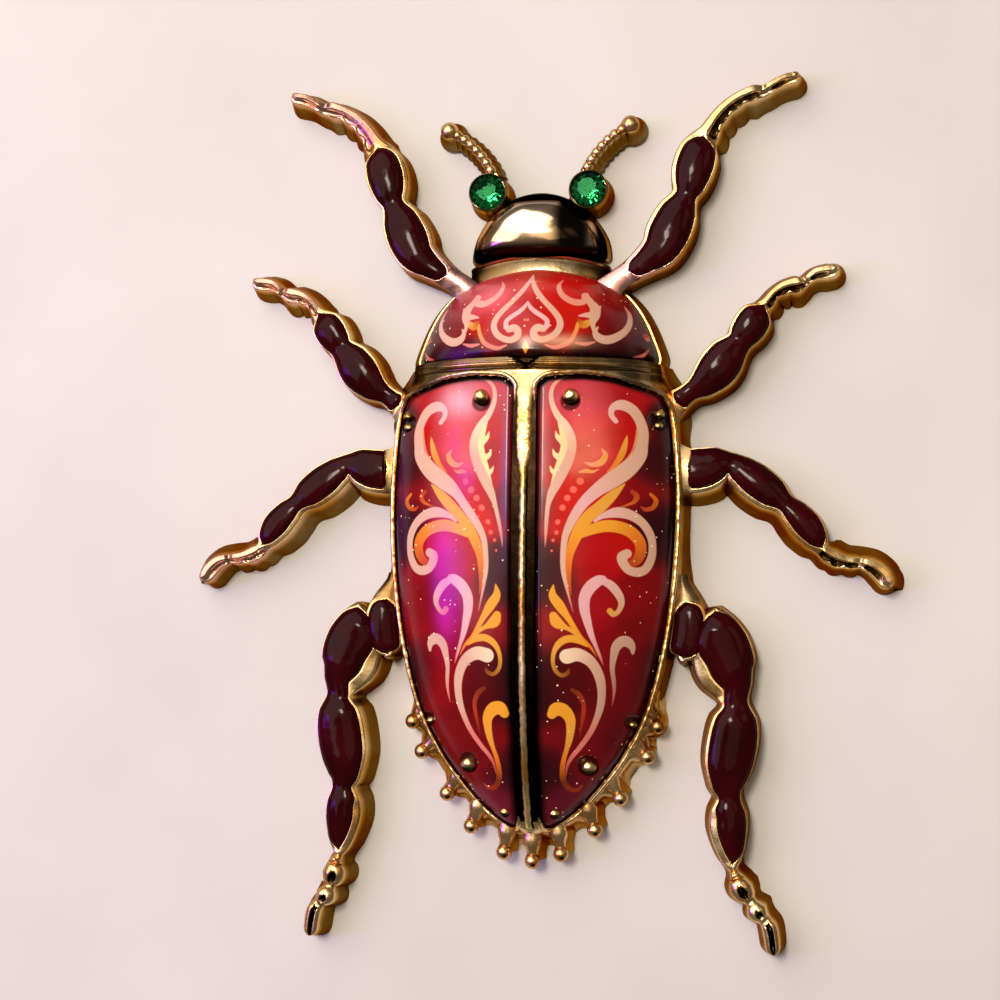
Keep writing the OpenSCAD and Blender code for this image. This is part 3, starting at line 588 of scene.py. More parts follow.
def rims():
    """Rim round the right wing case, and its painted shade."""
    path, out = case_outline(620, CLEARANCE + RIM_WIDTH / 2)
    a = np.linspace(0, pi, 11)
    w = RIM_WIDTH / 2
    profile = [(-w * 0.85, -0.9), *zip(-w * np.cos(a), 0.02 + w * np.sin(a)), (w * 0.85, -0.9)]
    rings, quads = sweep(path, out, profile)
    # Beside the ridge the rim is thinner and lies lower, in painted shade
    beside = ease(1.3 - path[:, 0], 0, 0.35) * ease(-path[:, 1], 1.6, 3.5)
    beside *= ease(path[:, 1] + WING_LENGTH, 0.7, 1.7)
    rings[:, :, 0] += (rings[:, :, 0] - path[:, None, 0]) * -0.4 * beside[:, None]
    rings[:, :, 0] += 0.05 * beside[:, None]
    rings[:, :, 2] -= 0.3 * beside[:, None]
    flat = rings.reshape(-1, 3)
    flat[:, 2] += 0.01 * ripple(flat, 0.5, 11)
    # Painted shade beside the ridge and at the outer corners near the waist
    shade = beside + 0.7 * ease(path[:, 0], 6.6, 7.8) * ease(path[:, 1], -2.2, -1.4)
    return Shape().add(flat, quads), np.repeat(shade, rings.shape[1])


def ridge():
    """Middle ridge, mottled and flat near the waist and rounded further back, and its painted
    shade: dark walls and flanks, and a duller top near the waist."""
    y = np.linspace(-0.75, -WING_LENGTH + 0.45, 500)
    flare = 1 - ease(-y, 1.0, 3.0)
    half = 0.56 + 0.4 * flare - 0.18 * ease(-y, 6.5, 9)
    a = np.linspace(-1, 1, 25)
    round_ = ease(-y, 6.5, 9.5)[:, None]
    top = (1 - round_) * 0.12 * (1 - a**4) + round_ * (0.34 * (1 - a**2) - 0.1)
    x = half[:, None] * a
    z = pan_crown(-y / WING_LENGTH)[:, None] + top - 0.2 * flare[:, None]
    points = np.stack([x, np.repeat(y[:, None], len(a), 1), z], -1)
    flat = points.reshape(-1, 3)
    rough = (ripple(flat, 0.8, 5) + 0.7 * ripple(flat, 0.4, 6)) * ease(-flat[:, 1], 2.4, 3.8)
    flat[:, 2] += 0.008 * rough * (1.2 - 0.95 * ease(-flat[:, 1], 7, 9.5))
    flat[:, 0] += 0.018 * ripple(flat * [0, 1, 0], 0.8, 7) * ease(-flat[:, 1], 2, 4)
    sides = []
    for k in (0, -1):
        foot = np.repeat(points[:, [k]], 3, 1)
        foot[:, :, 0] += np.array([0.02, 0.1, 0.12]) * (1 if k else -1)
        foot[:, :, 2] -= np.array([0.12, 0.45, 1.0])
        sides.append(foot)
    rings = np.concatenate([sides[0][:, ::-1], points, sides[1]], 1)
    # Painted shade on the walls, on the top near the waist, and on the rounded part's flanks
    side = (0.93 + 0.07 * ease(-y, 4, 7))[:, None] + np.zeros(3)
    flanks = round_ * np.maximum(ease(a, 0.4, 0.65), 0.94 * ease(-a, 0.7, 0.9))
    shade = np.concatenate([side, np.maximum(0.85 * flare[:, None], flanks), side], 1)
    return Shape().loft(rings, turn=True), shade.ravel()


def wing_case():
    """Domed case with a fine skin and a plainer underside; its skin's points and their
    distance to the edge."""
    rows, columns, under = 500, 150, 9
    t = eased(CASE_ROWS[0][0], CASE_ROWS[-1][0], rows)
    inner, outer = case_sides(t)
    u = eased(0, 1, columns)
    u = 0.75 * u + 0.25 * np.linspace(0, 1, columns + 1)
    x = inner[:, None] + (outer - inner)[:, None] * u
    y = np.repeat(-t[:, None] * WING_LENGTH, columns + 1, 1)
    edge = to_outline(x, y)
    roll = 0.34 * (1 - np.sqrt(1 - np.clip(1 - edge / 0.5, 0, 1) ** 2))
    z = pan_skin(x, y) - RIM_STEP - roll
    for gx, gy, radius, drop in PITS:
        r = np.hypot(x - gx, y - gy)
        z -= drop * (1 - ease(r, radius - 0.2, radius + 0.1))
    skin = np.stack([x, y, z], -1)
    v = np.linspace(0, 1, under)
    bx = inner[:, None] + (outer - inner)[:, None] * v
    by = np.repeat(y[:, :1], under, 1)
    base = np.stack([bx, by, pan_skin(bx, by) - RIM_STEP - CASE_THICKNESS], -1)
    form = Shape().sheet(skin, turn=True).sheet(base)
    n, m, low = rows + 1, columns + 1, (rows + 1) * (columns + 1)
    top = np.arange(n * m).reshape(n, m)
    bottom = low + np.arange(n * under).reshape(n, under)
    i = np.arange(rows)
    walls = [np.stack([top[i, 0], top[i + 1, 0], bottom[i + 1, 0], bottom[i, 0]], 1),
        np.stack([top[i + 1, -1], top[i, -1], bottom[i, -1], bottom[i + 1, -1]], 1)]
    form.faces += np.concatenate(walls).tolist()
    form.faces.append(top[0].tolist()[::-1] + bottom[0].tolist())
    form.faces.append(top[-1].tolist() + bottom[-1].tolist()[::-1])
    return form, skin.reshape(-1, 3), edge.ravel()


# Grains: x, y, radius, height over the skin. Pits round them: x, y, radius, depth.
GRAINS = ((3.5, -2.6, 0.62, 0.12), (10.05, -3.7, 0.42, -0.1), (10.0, -4.6, 0.36, -0.15),
    (8.05, -27.9, 0.36, -0.2), (4.75, -31.2, 0.6, 0.0), (1.9, -34.9, 0.45, -0.2))
PITS = [(3.5, -2.95, 0.72, 0.45), (10.0, -4.2, 0.75, 0.3), (8.1, -27.7, 0.6, 0.25),
    (4.7, -31.0, 0.8, 0.35)]
# Paints. A stroke is its colours along the way and its points: x, y and width.
CREAM, PINK_CREAM, IVORY = "#d2a68c", "#dca6a2", "#e6caa6"
ORANGE, AMBER, RUST, BROWN = "#d9701f", "#e0982c", "#a8341a", "#6e2a10"
BLUSH, GOLD_PAINT, PEACH = "#d87868", "#d99a3a", "#ee9468"
FEATHER, DOT = "#f0d494", "#e8614c"


def painted(points, strokes, reach=0.5):
    """Distance from each point to the edge of the nearest stroke, below 0 on it, and the
    stroke's colour there."""
    far = np.full(len(points), reach)
    shade = np.tile(linear(CREAM), (len(points), 1))
    for colours, stops in strokes:
        stops = np.array(stops, float)
        if len(stops) == 1:
            line, share = stops, np.zeros(1)
        else:
            s = np.concatenate([[0], np.cumsum(np.hypot(*np.diff(stops[:, :2], axis=0).T))])
            at = np.linspace(0, s[-1], int(s[-1] / 0.05) + 2)
            line = np.stack([hermite(s, stops[:, k], at) for k in range(3)], 1)
            share = at / s[-1]
        tones = np.array([linear(c) for c in colours])
        tones = np.stack([np.interp(share, np.linspace(0, 1, len(tones)), tones[:, k])
            for k in range(3)], 1)
        pad = reach + line[:, 2].max() / 2
        near = np.flatnonzero(np.all((points[:, :2] > line[:, :2].min(0) - pad)
            & (points[:, :2] < line[:, :2].max(0) + pad), axis=1))
        for part in np.array_split(near, max(len(near) // 4000, 1)):
            gap = np.hypot(points[part, 0][:, None] - line[:, 0],
                points[part, 1][:, None] - line[:, 1]) - np.maximum(line[:, 2], 0.02) / 2
            k = gap.argmin(1)
            best = gap[np.arange(len(part)), k]
            closer = best < far[part]
            far[part[closer]] = best[closer]
            shade[part[closer]] = tones[k[closer]]
    return far, shade


def ground(points, anchors, floor):
    """Soft colour field: anchors are (x, y, reach, colour), floor is the colour between."""
    total = np.full(len(points), 0.02)
    shade = np.tile(np.array(linear(floor)) * 0.02, (len(points), 1))
    for x, y, reach, colour in anchors:
        weight = np.exp(-((points[:, 0] - x) ** 2 + (points[:, 1] - y) ** 2) / reach**2)
        total += weight
        shade += weight[:, None] * np.array(linear(colour))
    return shade / total[:, None]


WING_CREAM = [
    ([PINK_CREAM, CREAM, CREAM, CREAM, PINK_CREAM, CREAM, CREAM, BLUSH], [
        (6.9, -4.45, .35), (6.55, -3.95, .4), (6.65, -3.4, .5), (7.3, -3.15, .8),
        (8.1, -3.5, .8), (8.65, -4.3, .75), (8.9, -5.2, .8), (8.85, -6.2, .85),
        (8.7, -7.0, 1.0), (8.2, -7.7, 1.2), (7.5, -8.4, 1.3), (6.6, -9.05, 1.25),
        (5.6, -9.8, 1.0), (4.75, -10.6, .85), (4.15, -11.4, .75), (3.6, -12.4, .65),
        (3.2, -13.5, .5), (3.05, -15.1, .4), (3.1, -16.1, .35), (3.3, -17.1, .25),
        (3.55, -18.1, .15), (3.85, -19.2, .05)]),
    ([PINK_CREAM, CREAM, CREAM, CREAM], [
        (5.4, -12.2, .2), (6.0, -11.8, .4), (7.1, -11.5, .8), (8.1, -11.7, .75),
        (8.95, -12.3, .65), (9.5, -13.2, .6), (9.65, -14.1, .55), (9.55, -15.0, .6),
        (9.15, -15.8, .65), (8.6, -16.05, .7), (7.95, -15.9, .65), (7.55, -15.4, .7),
        (7.45, -14.9, .75), (7.8, -14.65, .7)]),
    ([PINK_CREAM, PINK_CREAM, PINK_CREAM, BLUSH], [
        (6.05, -16.6, .5), (5.7, -16.75, .8), (5.1, -17.25, .9), (4.7, -18.0, .85),
        (4.68, -18.9, .75), (4.9, -19.9, .6), (5.15, -20.8, .45), (5.45, -21.6, .3),
        (5.8, -22.5, .2), (6.05, -23.2, .05)]),
    ([PINK_CREAM, CREAM, GOLD_PAINT], [
        (6.05, -16.75, .5), (6.65, -17.1, .65), (7.2, -17.8, .6), (7.4, -18.45, .45),
        (7.15, -19.1, .35), (6.8, -19.3, .4), (6.55, -19.05, .45)]),
    ([CREAM, CREAM, BLUSH], [
        (8.2, -22.3, .2), (8.15, -21.8, .5), (7.8, -21.4, .8), (7.4, -21.4, .8),
        (7.0, -21.8, .7), (6.8, -22.6, .5), (6.7, -23.5, .35), (6.8, -24.5, .3),
        (6.8, -25.3, .2), (6.65, -26.3, .05)]),
    ([IVORY, CREAM, CREAM, CREAM, BLUSH, BLUSH, RUST], [
        (3.35, -22.55, 1.1), (4.1, -22.4, 1.0), (4.9, -22.75, .85), (5.45, -23.4, .75),
        (5.8, -24.3, .7), (5.9, -25.3, .6), (5.8, -26.3, .55), (5.5, -27.3, .45),
        (5.0, -28.4, .4), (4.2, -29.55, .35), (3.55, -30.35, .3), (3.2, -31.0, .2),
        (3.05, -31.8, .1)]),
    ([BLUSH, CREAM, IVORY, CREAM, CREAM, CREAM, BLUSH], [
        (3.35, -1.0, .1), (2.6, -1.3, .22), (2.15, -1.8, .28), (2.0, -2.5, .34),
        (2.15, -3.3, .4), (2.55, -4.1, .5), (3.1, -4.8, .6), (3.52, -5.6, .65),
        (3.65, -6.4, .68), (3.45, -7.4, .75), (3.0, -8.4, .8), (2.55, -9.3, .75),
        (2.15, -10.1, .6), (1.9, -11.0, .36), (1.8, -12.0, .3), (1.75, -13.0, .24),
        (1.7, -14.2, .05)]),
]
WING_WARM = [
    ([GOLD_PAINT, GOLD_PAINT, AMBER, ORANGE, RUST], [
        (7.6, -9.3, .1), (6.7, -10.2, .7), (5.8, -11.1, .9), (5.0, -11.8, .9),
        (4.4, -12.6, .9), (3.9, -13.7, .8), (3.55, -14.8, .6), (3.45, -15.9, .5),
        (3.5, -16.9, .35), (3.7, -17.9, .1)]),
    ([AMBER, AMBER, ORANGE, RUST], [
        (4.4, -13.2, .6), (5.3, -12.8, .8), (6.3, -12.55, .9), (7.3, -12.65, .9),
        (8.1, -13.0, .9), (8.7, -13.7, .85), (8.8, -14.4, .8), (8.55, -15.1, .7),
        (8.0, -15.45, .45), (7.7, -15.3, .2)]),
    ([GOLD_PAINT, ORANGE], [
        (7.75, -5.5, .05), (7.6, -6.2, .38), (7.35, -7.0, .5), (6.9, -7.8, .35), (6.3, -8.4, .1)]),
    ([GOLD_PAINT, BLUSH, GOLD_PAINT], [
        (8.45, -4.9, .05), (8.4, -5.9, .22), (8.15, -6.9, .3), (7.5, -7.8, .2)]),
    ([AMBER, GOLD_PAINT, BROWN], [
        (4.9, -21.7, .25), (4.2, -21.3, .5), (3.45, -21.2, .55), (2.8, -21.55, .5),
        (2.4, -22.2, .35), (2.3, -23.0, .3), (2.5, -23.65, .3), (2.95, -24.0, .3),
        (3.4, -23.8, .3), (3.5, -23.5, .15)]),
    ([AMBER, AMBER, ORANGE], [
        (2.35, -17.05, .05), (2.3, -17.9, .6), (2.8, -18.65, .75), (3.35, -19.45, .5),
        (3.9, -20.3, .35), (4.45, -21.1, .25), (5.1, -21.8, .2), (5.6, -22.6, .05)]),
    ([AMBER, GOLD_PAINT], [
        (2.35, -19.45, .6), (2.6, -19.95, .85), (3.3, -20.35, .35), (4.0, -20.75, .3),
        (4.6, -21.3, .2)]),
    ([AMBER, AMBER, GOLD_PAINT, ORANGE, BROWN, RUST], [
        (2.15, -27.0, .7), (2.5, -26.6, 1.0), (3.05, -26.7, 1.0), (3.5, -27.3, .8),
        (3.55, -28.0, .65), (3.42, -28.9, .5), (3.2, -29.7, .35), (2.95, -30.5, .35),
        (2.8, -31.4, .4), (2.85, -32.2, .45), (3.2, -32.85, .4), (3.8, -33.0, .3),
        (4.2, -32.65, .1)]),
    ([BROWN, RUST, BROWN], [
        (3.7, -25.1, .3), (4.2, -25.45, .4), (4.55, -26.2, .35), (4.5, -27.1, .3),
        (4.35, -27.9, .2), (4.2, -28.8, .05)]),
    ([RUST, ORANGE], [
        (8.15, -9.85, .3), (8.5, -10.2, .4), (8.3, -10.65, .3), (7.8, -10.9, .15),
        (7.2, -11.1, .05)]),
    ([ORANGE, RUST], [
        (9.5, -10.0, .2), (9.9, -10.5, .35), (9.65, -11.05, .35), (9.1, -11.2, .3),
        (8.8, -11.0, .12)]),
    ([FEATHER, FEATHER, FEATHER], [
        (2.7, -4.6, .3), (3.1, -5.4, .8), (3.25, -6.4, .9), (3.05, -7.4, .9),
        (2.7, -8.3, .75), (2.4, -9.1, .5), (2.15, -9.9, .3)]),
    ([FEATHER, FEATHER], [(3.0, -6.1, .6), (2.55, -5.75, .32), (2.4, -5.3, .06)]),
    ([FEATHER, FEATHER], [(2.9, -7.4, .6), (2.4, -7.15, .35), (2.2, -6.7, .06)]),
    ([FEATHER, FEATHER], [(2.6, -8.6, .5), (2.2, -8.4, .3), (2.0, -8.0, .06)]),
    ([PEACH, PEACH, GOLD_PAINT, PEACH], [
        (4.6, -7.7, .1), (5.25, -7.85, .36), (5.85, -7.65, .5), (6.15, -7.1, .38),
        (5.9, -6.65, .12)]),
    ([PEACH, GOLD_PAINT, PEACH], [
        (4.2, -8.45, .1), (4.7, -8.35, .3), (5.2, -8.4, .22), (5.7, -8.2, .05)]),
] + [([DOT], [dot]) for dot in (
    (4.3, -9.15, .56), (3.8, -9.8, .54), (3.35, -10.45, .5), (3.0, -11.2, .48),
    (2.65, -12.3, .4), (2.55, -13.1, .34), (2.3, -13.7, .26), (2.2, -14.5, .2))]
WING_GROUND = [
    (4.6, -2.4, 1.8, "#ce3a48"), (7.3, -2.2, 1.5, "#b41014"), (7.2, -5.2, 1.2, "#c4100e"),
    (5.2, -5.6, 1.2, "#e04a48"), (4.4, -7.4, 0.8, "#e85c4a"), (5.9, -8.6, 0.8, "#c8101c"),
    (3.3, -11, 1.5, "#cc0806"), (2.0, -4.5, 0.9, "#c01c20"), (1.3, -7, 0.8, "#b01420"),
    (1.3, -3, 0.8, "#b83440"), (1.3, -11, 1.0, "#5c0a14"), (10.1, -4.0, 0.9, "#2a0a0c"),
    (10.2, -7, 1.2, "#3c0a0e"), (10.4, -13, 1.3, "#2c0710"), (5.6, -14.6, 1.4, "#b40a10"),
    (7.0, -14, 0.9, "#c81208"), (8.6, -19, 1.6, "#84080e"), (6.0, -18.8, 1.0, "#9c0c16"),
    (7.6, -24, 1.6, "#8a080e"), (3.6, -25, 1.5, "#520708"), (5.6, -29.5, 1.8, "#740a10"),
    (1.5, -16, 1.4, "#3a0710"), (1.4, -25, 1.6, "#26060c"), (1.6, -32, 1.4, "#30070e"),
    (3.0, -34, 1.2, "#6c1428"), (9.6, -24, 1.4, "#2c0812")]

# Painted soft coloured light and shade over the print: x, y, reach along x and y, amount, colour
WING_SHEEN = {
    "right": [(7.6, -26.5, 1.8, 5.0, 0.5, "#4c0a12"), (4.6, -6.6, 1.5, 2.2, 0.35, "#f0906c"),
        (3.8, -2.9, 1.6, 1.2, 0.15, "#f08890")],
    "left": [(5.2, -2.8, 1.7, 1.3, 0.7, "#f4b8c4"), (5.7, -6.2, 0.9, 1.6, 0.5, "#e03080"),
        (4.7, -8.8, 0.8, 1.3, 0.6, "#d828a0"), (6.5, -14.6, 1.0, 2.4, 0.6, "#cc1c98"),
        (6.2, -19.2, 0.85, 2.2, 0.6, "#c81c98"), (1.5, -9.0, 0.32, 5.0, 0.5, "#7c3c94"),
        (10.6, -12.0, 0.6, 8.0, 0.4, "#5a2450")]}
# Painted light and shade over the shield's print, in the same columns
SHIELD_SHEEN = [(-3.2, 5.6, 2.6, 1.6, 0.45, "#f08c98"), (2.6, 1.75, 1.9, 0.45, 0.75, "#e8a882"),
    (-5.6, 1.0, 1.4, 0.5, 0.5, "#5a1c70"), (3.4, 5.4, 1.5, 1.4, 0.4, "#e8180c")]


def sheen(x, y, spots, layers):
    """Paints the spots' light and shade over each layer of colours, in place."""
    for cx, cy, rx, ry, amount, tone in spots:
        weight = amount * np.exp(-((x - cx) / rx) ** 2 - ((y - cy) / ry) ** 2)[:, None]
        for layer in layers:
            layer += weight * (np.array(linear(tone)) - layer)


def printed(name, node, form, cream, warm, field):
    """A piece with its print. Points below its skin take the skin's last values."""
    spare = form.count - len(field)
    pad = lambda data: np.concatenate([data, np.repeat(data[-1:], spare, 0)])
    make(name, form, PRINT, "printed_shell", [node], sharp=50,
        values={"cream": pad(cream[0]), "warm": pad(warm[0])},
        colours={"cream_colour": pad(cream[1]), "warm_colour": pad(warm[1]),
            "ground": pad(field)})


def dress_wing(side):
    """Wing case with its print: scrolls and ground, with painted spots of light and painted shade
    at the edges, near the waist and round the pits.
    """
    form, skin, edge = wing_case()
    plan = skin[:, :2].copy()
    if side == "left":
        # The left print sits a little further in towards the tail, and out near the waist
        plan[:, 0] += 0.65 * ease(-skin[:, 1], 10, 28)
        plan[:, 0] -= 0.4 * (1 - ease(skin[:, 0], 4.4, 5.8)) * (1 - ease(-skin[:, 1], 10, 14))
    cream, warm = painted(plan, WING_CREAM), painted(plan, WING_WARM)
    field = ground(plan, WING_GROUND, "#8c0c12")
    sheen(skin[:, 0], skin[:, 1], WING_SHEEN[side], (cream[1], warm[1], field))
    # Painted shade round the pits
    for gx, gy, radius, _ in PITS:
        r = np.hypot(skin[:, 0] - gx, skin[:, 1] - gy)
        field *= (0.25 + 0.75 * ease(r, radius - 0.25, radius + 0.15))[:, None]
    # Painted shade: darker towards the edges, near black at the front near the waist
    near_waist = ease(skin[:, 1], -2.6, -1.6)
    field *= (0.25 + 0.75 * ease(edge, 0.15, 0.7))[:, None]
    shade = 1 - 0.97 * near_waist * (1 - ease(edge, 0.28, 0.5))
    for layer in (field, cream[1], warm[1]):
        layer *= shade[:, None]
    if side == "left":
        form = form.mirrored()
    printed(f"wing_print_{side}", f"wing_case_{side}", form, cream, warm, field)


for side in ("right", "left"):
    dress_wing(side)

cast(make, "back_casting", *back(), sharp=35)
cast(both, "wing_rim", *rims(), sharp=60)
cast(make, "middle_ridge", *ridge(), GOLD_ROUGH, 60)


# Thorax shield
def shield_side(t):
    return column(SHIELD_ROWS, 1, t) * SHIELD_HALF


def shield_crown(t):
    return column(SHIELD_ROWS, 2, t) * SHIELD_HEIGHT


SHIELD_CREAM_HALF = [
    ([PINK_CREAM, CREAM, CREAM, CREAM], [
        (0.0, 7.5, .12), (0.1, 6.9, .3), (0.6, 5.85, .42), (1.3, 4.95, .42),
        (2.0, 4.2, .45), (2.5, 3.5, .48), (2.6, 2.9, .5), (2.3, 2.3, .5),
        (1.75, 1.92, .48), (1.15, 1.8, .5), (0.7, 2.05, .55), (0.62, 2.5, .55),
        (0.95, 2.75, .6), (1.35, 2.65, .5)]),
    ([PINK_CREAM, PINK_CREAM], [
        (0.0, 4.95, .1), (0.2, 4.5, .3), (0.65, 4.05, .36), (1.2, 3.68, .36),
        (1.6, 3.3, .36), (1.6, 2.85, .4)]),
    ([BLUSH, CREAM, CREAM, CREAM, CREAM], [
        (2.45, 7.0, .08), (2.22, 6.4, .3), (2.5, 5.65, .42), (3.1, 5.15, .5),
        (3.75, 4.95, .55), (4.25, 5.1, .5), (4.3, 5.6, .55)]),
    ([CREAM, CREAM, CREAM], [
        (4.25, 5.6, .5), (4.75, 5.0, .55), (5.1, 4.5, .75), (5.1, 3.9, .75),
        (5.0, 3.3, .4), (5.1, 2.7, .25)]),
    ([CREAM, CREAM], [(5.1, 4.3, .6), (5.45, 4.75, .15)]),
    ([CREAM, PINK_CREAM], [(5.0, 3.95, .6), (4.4, 3.9, .35), (3.95, 3.8, .1)]),
    ([BLUSH, CREAM, CREAM, CREAM, CREAM], [
        (7.15, 5.05, .08), (7.55, 4.4, .28), (7.62, 3.6, .4), (7.35, 2.9, .5),
        (6.75, 2.3, .62), (6.05, 2.0, .68), (5.45, 2.15, .62), (5.2, 2.6, .35),
        (5.4, 3.0, .1)]),
]
SHIELD_WARM_HALF = [
    ([AMBER, BLUSH, BLUSH], [
        (3.95, 3.15, .3), (3.75, 2.4, .3), (3.4, 1.75, .35), (2.9, 1.4, .35),
        (2.2, 1.2, .3), (1.5, 1.4, .12)]),
    ([GOLD_PAINT, RUST], [(4.7, 3.3, .5), (4.3, 3.1, .6), (3.9, 3.5, .2)]),
    ([BLUSH, BLUSH], [(5.2, 1.75, .12), (4.5, 1.55, .3), (3.8, 1.6, .15)]),
    ([RUST, BLUSH], [(8.8, 2.75, .45), (8.95, 2.5, .3)]),
    ([RUST, BLUSH, RUST], [(9.1, 1.7, .08), (8.7, 1.1, .25), (8.0, 0.85, .08)]),
    ([BLUSH], [(0.12, 3.4, .22)]),
    ([AMBER], [(0.0, 1.25, .5)]),
    ([AMBER, AMBER], [(0.0, 1.7, .1), (0.0, 1.25, .45), (0.0, 0.8, .1)]),
]
SHIELD_GROUND = [
    (2.0, 6.0, 1.4, "#c01a12"), (1.0, 3.6, 1.0, "#b81410"), (0.0, 7.0, 1.0, "#c84030"),
    (3.3, 6.2, 1.2, "#b80e0a"), (3.4, 4.0, 1.2, "#c0160c"), (6.3, 4.0, 1.3, "#7c080c"),
    (6.4, 6.2, 1.2, "#8c1a12"), (8.6, 3.4, 1.3, "#500a0c"), (8.6, 1.2, 1.2, "#30060c"),
    (4.5, 1.0, 0.8, "#380810"), (1.5, 0.8, 0.7, "#30080a"), (6.4, 1.0, 0.9, "#300610"),
    (2.4, 1.6, 0.8, "#a01410")]


def shield():
    """Domed shield, one closed loft."""
    rows, columns = 150, 260
    t = eased(0, 1, rows)
    u = arc(columns + 1)
    side, crown = shield_side(t)[:, None], shield_crown(t)[:, None]
    y = WAIST + np.repeat(t[:, None], columns + 1, 1) * SHIELD_LENGTH
    x = side * u
    roll = 0.45 * (1 - np.sqrt(1 - np.clip(1 - (y - WAIST) / 0.6, 0, 1) ** 2))
    z = dome(SHIELD_EDGE + CLEARANCE, crown, SHIELD_POWER, u) - roll * (0.25 + 0.75 * (1 - u**2))
    skin = np.stack([x, y, z], -1)
    # Underside: it follows the skin inside, and the rear end stays open over the core
    lower = skin.copy()
    lower[:, :, 0] *= 0.985
    lower[:, :, 2] = np.maximum(lower[:, :, 2] - 0.3, SHIELD_EDGE)
    foot = skin[:, [0, -1]].copy()
    foot[:, :, 2] = SHIELD_EDGE
    rings = np.concatenate([foot[:, :1], skin, foot[:, 1:], lower[:, ::-1][:, ::4]], 1)
    return Shape().loft(rings)


def dress_shield():
    """Shield with its print, which is one half drawn twice."""
    form = shield()
    points = form.all_points()
    plan = np.stack([abs(points[:, 0]), points[:, 1]], 1)
    cream, warm = painted(plan, SHIELD_CREAM_HALF), painted(plan, SHIELD_WARM_HALF)
    field = ground(plan, SHIELD_GROUND, "#a01410")
    # Painted shade along the shield's rear edge
    field *= (0.2 + 0.8 * ease(points[:, 1], WAIST + 0.15, WAIST + 1.0))[:, None]
    sheen(points[:, 0], points[:, 1], SHIELD_SHEEN, (cream[1], warm[1], field))
    printed("shield_print", "thorax_shield", form, cream, warm, field)


dress_shield()


def thorax():
    """Flange and core under the shield, one closed loft."""
    t = eased(-0.12, 1.03, 60)
    y = WAIST + t * SHIELD_LENGTH
    half = (shield_side(t) + SHIELD_FLANGE)[:, None]
    top = SHIELD_EDGE - CLEARANCE
    core = shield_side(t)[:, None] - 0.6 * SHIELD_THICKNESS - CLEARANCE
    a = arc(41)[None]
    crown = shield_crown(t)[:, None] - SHIELD_THICKNESS - CLEARANCE
    inside = ((t > -0.03) & (t < 0.93))[:, None]
    cx = core * a
    cz = np.where(inside, dome(top, crown, SHIELD_POWER, a), top)
    hollow_half = np.maximum(core - EDGE_WALL, 0.3)
    deep = ((t > -0.02) & (t < 0.5))[:, None]
    hz = np.where(deep, dome(HOLLOW_EDGE, crown - SHELL_WALL, SHIELD_POWER, a[:, ::2]), 0)
    k = np.linspace(0, 1, 7)[None]
    wall_x, wall_z = half + DRAFT * (1 - k) ** 1.3 + 0 * k, top * k + 0 * half
    wall_z = np.where(k == 1, top - 0.02, wall_z)
    lip_x, lip_z = half - 0.07, top + 0.03 + 0 * half
    hx = hollow_half * a[:, ::2]
    zero = 0 * half
    xs = [-wall_x, -lip_x, cx, lip_x, wall_x[:, ::-1], hollow_half, hx[:, ::-1], -hollow_half]
    zs = [wall_z, lip_z, cz, lip_z, wall_z[:, ::-1], zero, hz[:, ::-1], zero]
    x, z = np.concatenate(xs, 1), np.concatenate(zs, 1)
    yy = np.repeat(y[:, None], x.shape[1], 1)
    return Shape().loft(np.stack([x, yy, z], -1)).foot("thorax")


make("thorax_casting", thorax(), GOLD, "gold", ["casting"], sharp=35)


# Head
def head():
    """Mirror-bright head, and its painted dark reflections, which leave its white patch free.
    Mirror-bright head, and its dark places: they leave the photo's white patch free.
    """
    t = eased(0, 1, 70)
    y = HEAD_START - 0.1 + t * HEAD_LENGTH
    half = column(HEAD_ROWS, 1, t)[:, None] * HEAD_HALF
    crown = np.maximum(column(HEAD_ROWS, 2, t) * HEAD_HEIGHT, HEAD_EDGE + 0.1)[:, None]
    u = arc(81)[None]
    z = HEAD_EDGE + (crown - HEAD_EDGE) * (1 - abs(u) ** 2.7) ** 0.6
    x = half * u
    # Painted dark reflections on the right side and the far left edge, with a lighter painted
    # streak near the right edge, and on the front and back ends
    dark = np.maximum(0.85 * ease(-x, 4.8, 5.3), 0.98 * ease(x, 1.0, 2.1))
    dark = dark * (1 - 0.7 * hill(x, 4.4, 0.3))
    ends = 1 - ease(y, HEAD_START + 0.6, HEAD_START + 1.1)
    ends = ends + ease(y, HEAD_START + 3.6, HEAD_START + 4.6)
    dark = np.maximum(dark, 0.98 * ends[:, None] + 0 * x)
    k = np.linspace(0, 0.98, 7)[None]
    wall_x, wall_z = half + DRAFT / 2 * (1 - k), HEAD_EDGE * k + 0 * half
    x = np.concatenate([-wall_x, x, wall_x[:, ::-1]], 1)
    z = np.concatenate([wall_z, z, wall_z[:, ::-1]], 1)
    form = Shape().loft(np.stack([x, np.repeat(y[:, None], x.shape[1], 1), z], -1))
    form.foot("head")
    # Painted shade on the walls
    side = np.full(wall_x.shape, 0.2)
    return form, np.concatenate([side, dark, side], 1).ravel()


